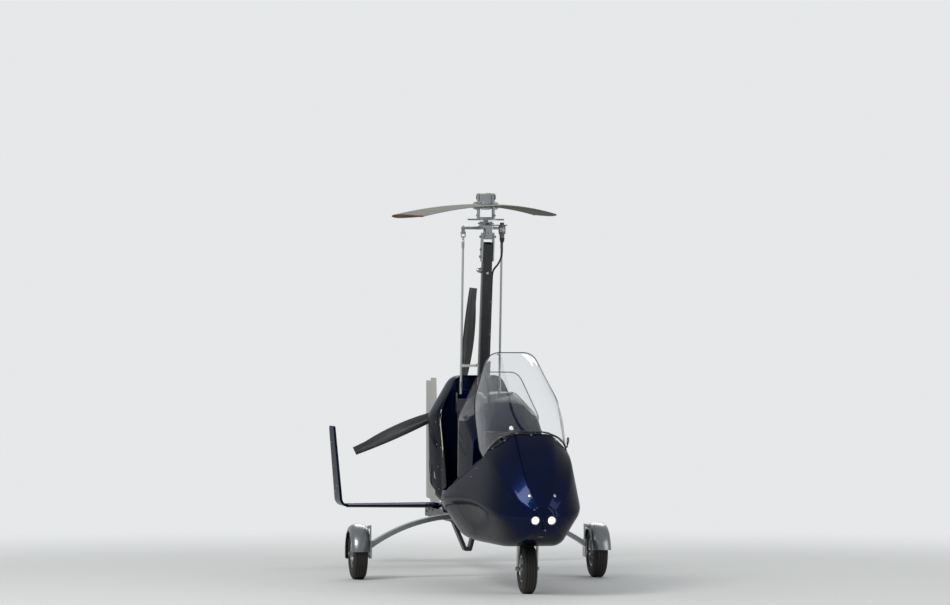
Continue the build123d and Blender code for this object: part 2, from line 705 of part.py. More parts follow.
with BuildPart() as engine_mount:
    for y in (ENGINE_FRONT_Y + 60, ENGINE_FRONT_Y + ENGINE_LENGTH - 60):
        with BuildSketch(Plane.XY.offset(keel_top_z)):
            with Locations((0, y)):
                RectangleRounded(50, 50, 8)
        extrude(amount=ENGINE_Z - ENGINE_H / 2 - keel_top_z - 12)
    with BuildSketch(Plane.XY.offset(ENGINE_Z - ENGINE_H / 2 - 12)):
        with Locations((0, ENGINE_FRONT_Y + ENGINE_LENGTH / 2)):
            RectangleRounded(180, ENGINE_LENGTH - 20, 20)
    extrude(amount=12)

MUFFLER_Z = 672
MUFFLER_Y = 872
EXHAUST_X = 152
DRUM_X = 112
exhaust_z = ENGINE_Z - 20 - CYLINDER_R - 20 - SEAT_GAP
with BuildPart() as muffler:
    with BuildSketch(side_view()):
        with Locations((MUFFLER_Y, MUFFLER_Z)):
            Circle(58)
    extrude(amount=135, both=True)
    for y in (ENGINE_FRONT_Y + 110, ENGINE_FRONT_Y + 290):
        for side in (-1, 1):
            port_x, drum_x = side * EXHAUST_X, side * DRUM_X
            with BuildLine():
                Polyline((port_x, y, exhaust_z), (port_x, y, exhaust_z - 60), (drum_x, y, 900),
                         (drum_x, MUFFLER_Y, MUFFLER_Z + 40))
            with BuildSketch(Plane.XY.offset(exhaust_z)):
                with Locations((port_x, y)):
                    Circle(18)
            sweep(transition=Transition.RIGHT)

COWL_STATIONS = [
    Station(COWL_FRONT_Y, 150, 470, 262, 560, 298, 1200, 160, 1446, 80),
    Station(560, 165, 480, 305, 620, 320, 1180, 165, 1448, 90),
    Station(COWL_END_Y, 110, 560, 228, 700, 238, 1150, 120, 1340, 75),
]
with BuildPart() as engine_cowl:
    loft([rounded_section(row) for row in COWL_STATIONS])
    hollow = [COWL_STATIONS[0]._replace(y=COWL_FRONT_Y - 6), COWL_STATIONS[1], COWL_STATIONS[2]._replace(y=COWL_END_Y + 6)]
    loft([rounded_section(row, COWL_WALL) for row in hollow], mode=Mode.SUBTRACT)
    with BuildSketch(Plane.XY.offset(400)):
        with Locations((0, (COWL_FRONT_Y + COWL_END_Y) / 2)):
            Rectangle(150, 620)
    extrude(amount=300, mode=Mode.SUBTRACT)
    with BuildSketch(side_view()):
        with Locations((590, 690)):
            Ellipse(165, 150)
    extrude(amount=500, both=True, mode=Mode.SUBTRACT)

# Propeller.
with BuildPart() as propeller:
    with BuildSketch(upright(PROP_Y - PROP_HUB_L / 2)):
        with Locations((0, PROP_Z)):
            Circle(PROP_HUB_R)
            Circle(SHAFT_D / 2 + AXLE_PLAY, mode=Mode.SUBTRACT)
    extrude(amount=-PROP_HUB_L)
    for k in range(PROP_BLADES):
        turn = radians(PROP_TURN + 360 / PROP_BLADES * k)
        out = Vector(sin(turn), 0, cos(turn))
        across = Vector(cos(turn), 0, -sin(turn))
        sections = []
        for radius, chord, thick, pitch in ((170, 92, 30, 46), (520, 100, 16, 24), (PROP_R, 62, 8, 15)):
            tip = Vector(0, PROP_Y, PROP_Z) + out * radius
            chord_dir = across * cos(radians(pitch)) + Vector(0, 1, 0) * sin(radians(pitch))
            plane = Plane(origin=tip - chord_dir * (chord * 0.4), x_dir=chord_dir, z_dir=out)
            sections.append(wing_section(plane, chord, thick))
        loft(sections)
        with BuildSketch(Plane(origin=Vector(0, PROP_Y, PROP_Z) + out * (PROP_HUB_R - 8), x_dir=across, z_dir=out)):
            Circle(12)
        extrude(amount=150)

# Landing gear.
LEG_END = (AXLE_PLATE_X - AXLE_PLATE_T / 2, 243)
bow_r = ((LEG_END[0] - LEG_STRAIGHT) ** 2 + (bow_z - LEG_END[1]) ** 2) / (2 * (bow_z - LEG_END[1]))
with BuildPart() as gear_bow:
    with BuildSketch(upright(MAIN_AXLE_Y)):
        with Locations((0, bow_z)):
            Rectangle(2 * LEG_STRAIGHT, LEG_T)
        for side in (-1, 1):
            with BuildSketch(mode=Mode.PRIVATE) as arch:
                with Locations((side * LEG_STRAIGHT, bow_z - bow_r)):
                    Circle(bow_r + LEG_T / 2)
                    Circle(bow_r - LEG_T / 2, mode=Mode.SUBTRACT)
                with Locations((side * (LEG_STRAIGHT + LEG_END[0]) / 2, bow_z - 120)):
                    Rectangle(LEG_END[0] - LEG_STRAIGHT, 360, mode=Mode.INTERSECT)
            add(arch.sketch)
    extrude(amount=LEG_CHORD / 2, both=True)


def axle(side):
    """Upright plate with the stub axle of a main wheel and the arm of its mudguard."""
    x0 = side * LEG_END[0]
    with BuildPart() as stub:
        with BuildSketch(side_view(x0)):
            with BuildLine():
                Polyline(
                    (MAIN_AXLE_Y - 44, 275), (MAIN_AXLE_Y + 44, 275), (MAIN_AXLE_Y + 34, MAIN_TYRE_R - 38),
                    (MAIN_AXLE_Y - 34, MAIN_TYRE_R - 38), close=True,
                )
            make_face()
            fillet(vertices(), 12)
        extrude(amount=side * AXLE_PLATE_T)
        with BuildSketch(side_view(x0)):
            with Locations((MAIN_AXLE_Y, 320)):
                Rectangle(26, 130)
        extrude(amount=side * AXLE_PLATE_T * 0.6)
        with BuildSketch(side_view(x0)):
            with Locations((MAIN_AXLE_Y, MAIN_TYRE_R + guard_r - 24)):
                Rectangle(26, 22)
        extrude(amount=side * (WHEEL_TRACK / 2 - GUARD_W / 2 - LEG_END[0]))
        with BuildSketch(side_view(x0)):
            with Locations((MAIN_AXLE_Y, MAIN_TYRE_R)):
                Circle(30)
        extrude(amount=side * (AXLE_PLATE_T + 8))
        with BuildSketch(side_view(x0)):
            with Locations((MAIN_AXLE_Y, MAIN_TYRE_R)):
                Circle(HUB_BORE / 2 - AXLE_PLAY)
        extrude(amount=side * (WHEEL_TRACK / 2 + MAIN_TYRE_W / 2 + 12 - LEG_END[0]))
    return stub


guard_r = MAIN_TYRE_R + GUARD_GAP + GUARD_T


def mudguard(side):
    """Guard bent over the tyre, round in section."""
    x = side * WHEEL_TRACK / 2
    start = radians(GUARD_FRONT_DEG)
    plane = Plane(origin=(x, MAIN_AXLE_Y, MAIN_TYRE_R), x_dir=(1, 0, 0), z_dir=(0, -sin(start), -cos(start)))
    half, skirt = GUARD_W / 2, guard_r - 36
    with BuildPart() as guard:
        with BuildSketch(plane):
            with BuildLine():
                FilletPolyline((-half, skirt), (-half, guard_r), (half, guard_r), (half, skirt), radius=GUARD_CORNER)
                FilletPolyline(
                    (GUARD_T - half, skirt), (GUARD_T - half, guard_r - GUARD_T), (half - GUARD_T, guard_r - GUARD_T),
                    (half - GUARD_T, skirt), radius=GUARD_CORNER - GUARD_T,
                )
                Line((-half, skirt), (GUARD_T - half, skirt))
                Line((half, skirt), (half - GUARD_T, skirt))
            make_face()
        revolve(axis=Axis((x, MAIN_AXLE_Y, MAIN_TYRE_R), (-1, 0, 0)), revolution_arc=180 - GUARD_FRONT_DEG + GUARD_REAR_DEG)
    return guard


def tyre(r, w, rim_r, x, y):
    """Tyre with a flat tread and round shoulders."""
    with BuildPart() as ring:
        with BuildSketch(Plane.XY.offset(r)):
            with BuildLine():
                lines = Polyline((x - w * 0.36, y - rim_r), (x - w / 2, y - rim_r - 12), (x - w / 2, y - r),
                                 (x + w / 2, y - r), (x + w / 2, y - rim_r - 12), (x + w * 0.36, y - rim_r), close=True)
            make_face()
            fillet(vertices().group_by(Axis.Y)[0], TYRE_CROWN)
        revolve(axis=Axis((x, y, r), (1, 0, 0)))
    return ring


def rim(r, rim_r, w, x, y):
    """Rim with a web, six holes and a bored hub."""
    with BuildPart() as disc:
        with BuildSketch(Plane.XY.offset(r)):
            with BuildLine():
                Polyline((x - w * 0.36, y - rim_r), (x - w * 0.36, y - rim_r + 9), (x - 6, y - rim_r + 14), (x - 6, y - 30),
                         (x - w / 2, y - 26), (x - w / 2, y - HUB_BORE / 2), (x + w / 2, y - HUB_BORE / 2), (x + w / 2, y - 26),
                         (x + 6, y - 30), (x + 6, y - rim_r + 14), (x + w * 0.36, y - rim_r + 9), (x + w * 0.36, y - rim_r), close=True)
            make_face()
        revolve(axis=Axis((x, y, r), (1, 0, 0)))
        with BuildSketch(side_view(x)):
            with Locations((y, r)):
                with PolarLocations((rim_r + 18) / 2, 6):
                    Circle((rim_r - 46) / 2.6)
        extrude(amount=20, both=True, mode=Mode.SUBTRACT)
    return disc


axle_right, axle_left = axle(-1), axle(1)
mudguard_right, mudguard_left = mudguard(-1), mudguard(1)
main_x = WHEEL_TRACK / 2
tyre_right, tyre_left = (tyre(MAIN_TYRE_R, MAIN_TYRE_W, MAIN_RIM_R, x, MAIN_AXLE_Y) for x in (-main_x, main_x))
rim_right, rim_left = (rim(MAIN_TYRE_R, MAIN_RIM_R, MAIN_TYRE_W, x, MAIN_AXLE_Y) for x in (-main_x, main_x))
tyre_nose = tyre(NOSE_TYRE_R, NOSE_TYRE_W, NOSE_RIM_R, 0, NOSE_AXLE_Y)
rim_nose = rim(NOSE_TYRE_R, NOSE_RIM_R, NOSE_TYRE_W, 0, NOSE_AXLE_Y)

# Nose gear.
CROWN_GAP = 10
CROWN_T = 24
STEM_D = 30
crown_z = 2 * NOSE_TYRE_R + CROWN_GAP
leg_x = NOSE_TYRE_W / 2 + 12
with BuildPart() as nose_fork:
    with BuildSketch(Plane.XY.offset(crown_z)):
        with Locations((0, steer_y)):
            RectangleRounded(2 * leg_x + 20, 56, 12)
    extrude(amount=CROWN_T)
    with BuildSketch(Plane.XY.offset(crown_z + CROWN_T)):
        with Locations((0, steer_y)):
            Circle(STEM_D / 2)
    extrude(amount=WELL_TOP_Z + 20 - crown_z - CROWN_T)
    for side in (-1, 1):
        with BuildSketch(side_view(side * leg_x)):
            with BuildLine():
                Polyline((steer_y - 28, crown_z + 1), (steer_y + 28, crown_z + 1), (NOSE_AXLE_Y + 20, NOSE_TYRE_R - 18),
                         (NOSE_AXLE_Y - 18, NOSE_TYRE_R - 18), close=True)
            make_face()
        extrude(amount=side * 10)
    with BuildSketch(side_view(-leg_x - 20)):
        with Locations((NOSE_AXLE_Y, NOSE_TYRE_R)):
            Circle(HUB_BORE / 2 - AXLE_PLAY)
    extrude(amount=2 * leg_x + 40)

with BuildPart() as wheel_well:
    with BuildSketch(Plane.XY.offset(324)):
        with Locations((0, steer_y)):
            Circle(WELL_R)
            Circle(WELL_R - 4, mode=Mode.SUBTRACT)
    extrude(amount=WELL_TOP_Z - 324)
    with BuildSketch(Plane.XY.offset(WELL_TOP_Z)):
        with Locations((0, steer_y)):
            Circle(WELL_R)
            Circle(STEM_D / 2 + AXLE_PLAY, mode=Mode.SUBTRACT)
    extrude(amount=keel_top_z - WELL_TOP_Z)

# Tail.
stab_z = keel_top_z + STAB_T / 2


def stab_section(x, le, chord, thick):
    """Tailplane section at the span station x."""
    return wing_section(Plane(origin=(x, le, stab_z), x_dir=(0, 1, 0), z_dir=(1, 0, 0)), chord, thick)


tip_le = STAB_LE_Y + 70
elbow_x = STAB_HALF - END_FIN_T - ELBOW_R
with BuildPart() as tailplane:
    loft([
        stab_section(-elbow_x, tip_le, STAB_TIP_CHORD, STAB_T * 0.7),
        stab_section(0, STAB_LE_Y, STAB_ROOT_CHORD, STAB_T),
        stab_section(elbow_x, tip_le, STAB_TIP_CHORD, STAB_T * 0.7),
    ], ruled=True)


def end_fin(side):
    """Fin on the end of the tailplane: an elbow that turns up into a swept, slightly splayed plate."""
    top_x = side * END_FIN_SPLAY
    low, high = stab_z - END_FIN_T / 2, stab_z + END_FIN_T / 2
    outer_x, inner_x = side * STAB_HALF, side * (STAB_HALF - END_FIN_T)
    with BuildPart() as plate:
        with BuildSketch(upright(tip_le - 40)):
            with BuildLine():
                FilletPolyline((side * elbow_x, low), (outer_x, low), (outer_x + top_x, END_FIN_TOP_Z), radius=ELBOW_R + END_FIN_T)
                FilletPolyline((side * elbow_x, high), (inner_x, high), (inner_x + top_x, END_FIN_TOP_Z), radius=ELBOW_R)
                Line((side * elbow_x, low), (side * elbow_x, high))
                Line((outer_x + top_x, END_FIN_TOP_Z), (inner_x + top_x, END_FIN_TOP_Z))
            make_face()
        extrude(amount=-520)
        with BuildSketch(side_view(side * (elbow_x - 5))):
            with BuildLine():
                Polyline((tip_le + 6, low - 1), (tip_le + STAB_TIP_CHORD - 12, low - 1), (2650, END_FIN_TOP_Z), (2410, END_FIN_TOP_Z), close=True)
            make_face()
            fillet(vertices().group_by(Axis.Y)[-1], 30)
        extrude(amount=side * 200, mode=Mode.INTERSECT)
    return plate


end_fin_right, end_fin_left = end_fin(-1), end_fin(1)


def fin_section(z, le, t):
    """Fixed fin section, thickest at the hinge gap."""
    te = RUDDER_AXIS_Y - t / 2 - RUDDER_GAP / 2
    with BuildSketch(Plane.XY.offset(z)) as section:
        with BuildLine():
            Polyline((-t / 2, te), (t / 2, te), (t * 0.42, le + (te - le) * 0.45), (2, le), (-2, le), (-t * 0.42, le + (te - le) * 0.45), close=True)
        make_face()
    return section.sketch


def rudder_section(z, t):
    """Rudder section with a round nose about the hinge line."""
    with BuildSketch(Plane.XY.offset(z)) as section:
        with BuildLine():
            Polyline((t / 2, RUDDER_AXIS_Y), (1.5, RUDDER_TE_Y), (-1.5, RUDDER_TE_Y), (-t / 2, RUDDER_AXIS_Y))
            ThreePointArc((-t / 2, RUDDER_AXIS_Y), (0, RUDDER_AXIS_Y - t / 2), (t / 2, RUDDER_AXIS_Y))
        make_face()
    return section.sketch


fin_foot_z = stab_z + STAB_T / 2 + 0.3
rudder_foot_z = fin_foot_z + 22
PIN_D = 8
with BuildPart() as fin:
    loft([fin_section(fin_foot_z, 2040, FIN_T), fin_section(FIN_TOP_Z, 2240, FIN_T * 0.8)], ruled=True)
    for z, up in ((fin_foot_z, 1), (FIN_TOP_Z - 8, -1)):
        with BuildSketch(Plane.XY.offset(z)):
            with Locations((0, RUDDER_AXIS_Y - 20)):
                Rectangle(26, 70)
        extrude(amount=8)
        with BuildSketch(Plane.XY.offset(z + (8 if up > 0 else 0))):
            with Locations((0, RUDDER_AXIS_Y)):
                Circle(PIN_D / 2)
        extrude(amount=up * 34)

with BuildPart() as rudder:
    loft([rudder_section(rudder_foot_z, FIN_T), rudder_section(FIN_TOP_Z - 22, FIN_T * 0.8)], ruled=True)
    for z, up in ((rudder_foot_z, 1), (FIN_TOP_Z - 22, -1)):
        with BuildSketch(Plane.XY.offset(z)):
            with Locations((0, RUDDER_AXIS_Y)):
                Circle(PIN_D / 2 + PIN_PLAY)
        extrude(amount=up * 24, mode=Mode.SUBTRACT)

# Lamps, probe and step.
with BuildPart() as landing_lamps:
    for side in (-1, 1):
        with BuildSketch(upright(LAMP_Y + 30)):
            with Locations((side * LAMP_X, LAMP_Z)):
                Circle(LAMP_R)
        extrude(amount=34)
    with BuildSketch(upright(LAMP_Y + 36)):
        with Locations((0, LAMP_Z)):
            Rectangle(2 * LAMP_X + 20, 16)
    extrude(amount=6)

STEP_Y = 60
STEP_Z = 210
with BuildPart() as step_blank:
    with BuildSketch(upright(STEP_Y)):
        with BuildLine():
            Polyline((-230, 400), (-150, STEP_Z), (-100, STEP_Z), (-50, 400), (-75, 400), (-118, STEP_Z + 22),
                     (-134, STEP_Z + 22), (-205, 400), close=True)
        make_face()
        fillet(vertices().group_by(Axis.Y)[0], 14)
    extrude(amount=50, both=True)
    add(hull_outer.part, mode=Mode.SUBTRACT)

with BuildPart() as boarding_step:
    with Locations((0, 0, -SEAT_GAP)):
        add(step_blank.part)

NODES = dict(
    keel=keel, mast=mast, mast_head=mast_head, gimbal_block=gimbal_block, head_bridge=head_bridge,
    bearing_housing=bearing_housing, rotor_tower=rotor_tower, hub_bar=hub_bar, rotor_blade_front=rotor_blade_front,
    rotor_blade_rear=rotor_blade_rear, rod_joint_right=rod_joint_right, rod_joint_left=rod_joint_left,
    rod_right=rod_right, rod_left=rod_left, control_levers=control_levers, mast_arm=mast_arm, hull=hull, nose_hood=nose_hood,
    windscreen_front=windscreen_front, fairing=fairing, cockpit_tub=cockpit_tub,
    cushion_front=cushion_front, cushion_rear=cushion_rear, backrest_front=backrest_front, backrest_rear=backrest_rear,
    instrument_panel=instrument_panel, windscreen_rear=windscreen_rear, prerotator=prerotator, stick_front=stick_front, stick_rear=stick_rear,
    pedals=pedals, engine=engine, engine_mount=engine_mount, muffler=muffler, engine_cowl=engine_cowl,
    propeller=propeller, gear_bow=gear_bow, axle_right=axle_right, axle_left=axle_left, mudguard_right=mudguard_right,
    mudguard_left=mudguard_left, tyre_right=tyre_right, tyre_left=tyre_left, rim_right=rim_right, rim_left=rim_left,
    tyre_nose=tyre_nose, rim_nose=rim_nose, nose_fork=nose_fork, wheel_well=wheel_well, tailplane=tailplane,
    end_fin_right=end_fin_right, end_fin_left=end_fin_left, fin=fin, rudder=rudder, landing_lamps=landing_lamps,
    boarding_step=boarding_step,
)
for name, piece in NODES.items():
    piece.part.label = name
    export_step(piece.part, f"parts/{name}.step")
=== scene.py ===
"""Open tandem two-seat gyroplane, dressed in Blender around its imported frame.

Metres, +Z up, ground at Z 0, nose toward -Y, starboard side -X. Each sub-assembly is a class that
builds its own meshes, gives them their finish and lets them ride on their body of the frame.
"""
import logging
from dataclasses import dataclass
from enum import Enum
from math import atan, atan2, cos, pi, radians, sin, tan
from typing import Callable, Optional, Sequence

import bmesh
import bpy
from mathutils import Matrix, Vector


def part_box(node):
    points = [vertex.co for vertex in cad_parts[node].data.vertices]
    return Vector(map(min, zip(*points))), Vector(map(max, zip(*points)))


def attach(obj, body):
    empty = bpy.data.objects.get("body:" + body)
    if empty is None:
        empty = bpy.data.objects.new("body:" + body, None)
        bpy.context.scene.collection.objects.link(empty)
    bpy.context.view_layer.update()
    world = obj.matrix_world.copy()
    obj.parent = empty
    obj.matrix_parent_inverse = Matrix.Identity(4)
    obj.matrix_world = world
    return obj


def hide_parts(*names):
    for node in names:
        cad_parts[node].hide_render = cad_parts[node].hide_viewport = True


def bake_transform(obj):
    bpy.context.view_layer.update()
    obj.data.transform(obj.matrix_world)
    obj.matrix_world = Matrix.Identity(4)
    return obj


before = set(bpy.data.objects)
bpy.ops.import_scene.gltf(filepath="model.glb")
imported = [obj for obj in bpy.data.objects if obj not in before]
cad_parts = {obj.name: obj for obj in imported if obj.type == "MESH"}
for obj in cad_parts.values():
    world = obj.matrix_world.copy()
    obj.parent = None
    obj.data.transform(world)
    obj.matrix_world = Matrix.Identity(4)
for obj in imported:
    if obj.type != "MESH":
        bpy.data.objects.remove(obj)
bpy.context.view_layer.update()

LOG = logging.getLogger("gyroplane")
Piece = bpy.types.Object
Point = Sequence[float]
Pair = tuple[float, float]
Triple = tuple[float, float, float]
SIDES = ((-1, "right"), (1, "left"))    # starboard is -X, port is +X
MAIN_AXLE = (0.87, 0.33, 0.185)         # middle of the port main wheel
FULL_COLOUR = "FFFFFF"                  # reflection without a tint


class Pattern(Enum):
    """What the surface of a finish shows close up."""

    FLAKE = "metal flake under clear lacquer"
    BRUSHED = "fine parallel scratches"
    CAST = "sand-cast skin"
    GRAIN = "moulded grain"
    WEAVE = "woven cloth"
    RUBBER = "moulded rubber with dust"
    SMOOTH = "smooth coat with faint mottling"
    CARBON = "two-by-two twill under lacquer"
    GLASS = "clear moulded sheet"
    LAMP = "clear lens"


def srgb(code: str) -> tuple[float, float, float, float]:
    """Turns an sRGB hex colour into Blender's linear colour.

    Args:
        code: six hex digits, such as "1A2340".

    Returns:
        Linear red, green, blue and an alpha of one.
    """
    parts = [int(code[i:i + 2], 16) / 255 for i in (0, 2, 4)]
    linear = [c / 12.92 if c <= 0.04045 else ((c + 0.055) / 1.055) ** 2.4 for c in parts]
    return (*linear, 1.0)


def add_node(tree: bpy.types.NodeTree, kind: str, settings: Optional[dict] = None,
             inputs: Optional[dict] = None) -> bpy.types.Node:
    """Adds one shader node, sets its properties and fills or links its inputs.

    Args:
        tree: node tree that gets the node.
        kind: Blender's name of the node type.
        settings: properties of the node itself.
        inputs: sockets by name or number; a socket as value is linked, anything else is set.

    Returns:
        The new node.
    """
    node = tree.nodes.new(kind)
    for name, value in (settings or {}).items():
        setattr(node, name, value)
    for name, value in (inputs or {}).items():
        if isinstance(value, bpy.types.NodeSocket):
            tree.links.new(value, node.inputs[name])
        else:
            node.inputs[name].default_value = value
    return node


@dataclass(frozen=True)
class Finish:
    """A real material with the way that its surface was made.

    Args:
        name: common name of the material and its finish.
        colour: main sRGB colour.
        shade: second sRGB colour, of wear, dust, weave or mottling.
        pattern: what its surface shows close up.
        pitch_mm: size of one grain, thread or scratch of the pattern.
        relief_mm: height of the pattern.
        metallic, roughness, ior, coat, coat_roughness, sheen, specular: values of the shader.
        shade_share: how much of the second colour shows.
        stretch: how much longer the grain is along an axis.
        emission: strength of a lit lens.
        edge: sRGB colour of the reflection at grazing angles.
        slot: the record's material slot of pieces in this finish; not used.
    """

    name: str
    colour: str
    shade: str
    pattern: Pattern
    pitch_mm: float
    relief_mm: float = 0.02
    metallic: float = 0.0
    roughness: float = 0.5
    ior: float = 1.5
    coat: float = 0.0
    coat_roughness: float = 0.05
    sheen: float = 0.0
    specular: float = 0.5
    shade_share: float = 0.35
    stretch: Triple = (1.0, 1.0, 1.0)
    emission: float = 0.0
    edge: str = FULL_COLOUR
    slot: str = "steel"

    def material(self) -> bpy.types.Material:
        """Builds the material once and returns it afterwards."""
        found = bpy.data.materials.get(self.name)
        if found:
            return found
        made = bpy.data.materials.new(self.name)
        made.use_nodes = True
        tree = made.node_tree
        tree.nodes.clear()
        mask, height = self._pattern(tree)
        mixed = add_node(tree, "ShaderNodeMix", {"data_type": "RGBA"},
                         {"Factor": mask, "A": srgb(self.colour), "B": srgb(self.shade)})
        colour = next(s for s in mixed.outputs if s.type == "RGBA")
        rough = add_node(tree, "ShaderNodeMapRange", None,
                         {"Value": mask, "To Min": max(self.roughness - 0.04, 0.01),
                          "To Max": min(self.roughness + 0.08, 1.0)})
        bump = add_node(tree, "ShaderNodeBump", None,
                        {"Strength": 0.6, "Distance": self.relief_mm / 1000, "Height": height})
        shader = add_node(tree, "ShaderNodeBsdfPrincipled", None,
                          {"Base Color": colour, "Roughness": rough.outputs[0], "Metallic": self.metallic,
                           "IOR": self.ior, "Coat Weight": self.coat, "Coat Roughness": self.coat_roughness,
                           "Sheen Weight": self.sheen, "Specular IOR Level": self.specular,
                           "Normal": bump.outputs[0]})
        if self.pattern is Pattern.GLASS:
            shader.inputs["Transmission Weight"].default_value = 1.0
        if self.edge != FULL_COLOUR:
            shader.inputs["Specular Tint"].default_value = srgb(self.edge)
        if self.emission:
            shader.inputs["Emission Color"].default_value = srgb(self.colour)
            shader.inputs["Emission Strength"].default_value = self.emission
        add_node(tree, "ShaderNodeOutputMaterial", None, {"Surface": shader.outputs[0]})
        return made

    def _pattern(self, tree: bpy.types.NodeTree) -> tuple[bpy.types.NodeSocket, bpy.types.NodeSocket]:
        """Builds the pattern's nodes.

        Args:
            tree: node tree of the material.

        Returns:
            Mask of the second colour, and height of the surface.
        """
        place = add_node(tree, "ShaderNodeTexCoord").outputs["Object"]
        scale = 1000 / self.pitch_mm
        turned = add_node(tree, "ShaderNodeMapping", None,
                          {"Vector": place, "Scale": tuple(1 / s for s in self.stretch)}).outputs[0]
        broad = add_node(tree, "ShaderNodeTexNoise", None,
                         {"Vector": place, "Scale": 7.0, "Detail": 3.0, "Roughness": 0.6})
        if self.pattern in (Pattern.WEAVE, Pattern.CARBON):
            waves = [add_node(tree, "ShaderNodeTexWave", {"wave_type": "BANDS", "bands_direction": way},
                              {"Vector": turned, "Scale": scale / 20, "Distortion": 0.6, "Detail": 1.0})
                     for way in ("DIAGONAL", "Z")]
            fine = add_node(tree, "ShaderNodeMath", {"operation": "MULTIPLY"},
                            {0: waves[0].outputs["Fac"], 1: waves[1].outputs["Fac"]}).outputs[0]
        elif self.pattern in (Pattern.FLAKE, Pattern.CAST, Pattern.GRAIN):
            fine = add_node(tree, "ShaderNodeTexVoronoi", None,
                            {"Vector": turned, "Scale": scale}).outputs["Distance"]
        else:
            fine = add_node(tree, "ShaderNodeTexNoise", None,
                            {"Vector": turned, "Scale": scale, "Detail": 4.0}).outputs["Fac"]
        joined = add_node(tree, "ShaderNodeMath", {"operation": "MULTIPLY"},
                          {0: broad.outputs["Fac"], 1: fine}).outputs[0]
        mask = add_node(tree, "ShaderNodeMapRange", None,
                        {"Value": joined, "From Min": 0.12, "From Max": 0.6,
                         "To Min": 0.0, "To Max": self.shade_share}).outputs[0]
        return mask, fine


# Two-stage lacquer on glass fibre: near-black blue with aluminium flake, mirror-like under its clear coat.
NAVY = Finish("navy_metallic_lacquer", "061230", "0B2352", Pattern.FLAKE, 1.2, 0.003, metallic=0.75,
              roughness=0.25, coat=0.2, coat_roughness=0.04, edge="2A3854")
# White gel coat of fin and rudder, slightly grey, under clear lacquer.
LIGHT = Finish("light_grey_gel_coat", "B5B2A8", "AEABA1", Pattern.SMOOTH, 60.0, 0.002, roughness=0.32, coat=0.35)
# Chromed brass of the lamp pots.
CHROME = Finish("chromed_brass", "D5D6D4", "B9BBBA", Pattern.SMOOTH, 6.0, 0.002, metallic=1.0, roughness=0.1)
# EPDM edge trim: matt black, slightly dusty.
TRIM = Finish("epdm_edge_trim", "151516", "2B2A28", Pattern.RUBBER, 2.0, 0.03, roughness=0.7, slot="black_plastic")
# Cream colour as a painted highlight of the sunlit rear edge of the fairing and of the hull's rear arch.
CREAM_HIGHLIGHT = Finish("cream_painted_highlight", "D9D2BF", "C4BDA9", Pattern.SMOOTH, 12.0, 0.005, roughness=0.35, coat=0.3,
               slot="light_paint")
# Red moulded lens of the tail lamp.
RED_LENS = Finish("red_moulded_lens", "7A1416", "4E0C0E", Pattern.LAMP, 3.0, 0.1, roughness=0.12, coat=0.6,
                  slot="lamp")
# Silicone and rubber hose, matt black.
HOSE = Finish("rubber_hose", "1D1D1E", "2E2D2C", Pattern.RUBBER, 2.5, 0.06, roughness=0.62, slot="black_plastic")
# Red silicone of the plug leads; the blades' tip caps wear the same red.
LEAD = Finish("red_silicone_lead", "8E2A1E", "6F2018", Pattern.SMOOTH, 3.0, 0.01, roughness=0.5, slot="black_plastic")
# White enamel of the instruments' hands and tick marks.
ENAMEL = Finish("white_enamel", "E4E2DA", "CFCDC4", Pattern.SMOOTH, 2.0, 0.002, roughness=0.45, slot="light_paint")
# Black paper-matt dial under its glass.
DIAL = Finish("matt_black_dial", "0E0E10", "19191B", Pattern.GRAIN, 0.6, 0.005, roughness=0.85, slot="black_plastic")
# Silver lacquer on glass fibre: bright, soft reflections, slight sparkle.
SILVER = Finish("silver_metallic_lacquer", "7C7F80", "969999", Pattern.FLAKE, 1.0, 0.004, metallic=0.75,
                roughness=0.32, coat=0.8, coat_roughness=0.06, slot="silver_paint")
# Black polyester powder coat on welded steel: even, faintly orange-peeled.
POWDER = Finish("black_powder_coat", "17171A", "2A2A2C", Pattern.GRAIN, 1.5, 0.03, roughness=0.42, coat=0.15,
                slot="black_frame")
# Stainless steel, brushed lengthways: bright lines and soft streaks of light.
STAINLESS = Finish("brushed_stainless_steel", "A7A8A6", "85878A", Pattern.BRUSHED, 0.9, 0.01, metallic=1.0,
                   roughness=0.3, stretch=(1, 1, 30))
# Machined aluminium plate: pale, satin, fine tool marks.
MACHINED = Finish("machined_aluminium", "B4B7B9", "8F9396", Pattern.BRUSHED, 0.8, 0.01, metallic=1.0, roughness=0.34,
                  stretch=(12, 1, 1), slot="aluminium")
# Cast aluminium crankcase: grey, rough skin, darker in its hollows.
CAST = Finish("cast_aluminium", "6F7274", "4A4C4E", Pattern.CAST, 1.6, 0.12, metallic=0.8, roughness=0.52)
# Extruded and anodised blade: olive-grey anodising, satin, faint lines along the span; its tone is also darkened as
# painted shade of the blades' shaded underside.
SHADED_BLADE = Finish("anodised_aluminium_olive_painted_shade", "5C5A4E", "45443C", Pattern.BRUSHED, 1.4, 0.01, metallic=0.25,
               roughness=0.6, specular=0.2, stretch=(1, 30, 1), edge="8A8A80")
# Moulded rubber: dull near-black, with grass dust in the tread.
RUBBER = Finish("moulded_rubber", "1B1A19", "4A443A", Pattern.RUBBER, 3.0, 0.15, roughness=0.78, shade_share=0.45,
                slot="rubber")
# Carbon fibre laminate of the propeller, lacquered in satin black.
CARBON = Finish("lacquered_carbon_laminate", "141312", "2B2824", Pattern.CARBON, 2.2, 0.01, roughness=0.34,
                coat=0.4, coat_roughness=0.2)
# Woven polyester seat cloth: soft, dark, with a fine cross thread.
CLOTH = Finish("woven_polyester_cloth", "17181C", "303238", Pattern.WEAVE, 2.4, 0.25, roughness=0.9, sheen=0.25,
               slot="cushion")
# Moulded ABS: satin black with a fine leather grain.
ABS = Finish("moulded_abs", "1A1A1C", "2B2B2D", Pattern.GRAIN, 1.1, 0.05, roughness=0.55, slot="black_plastic")
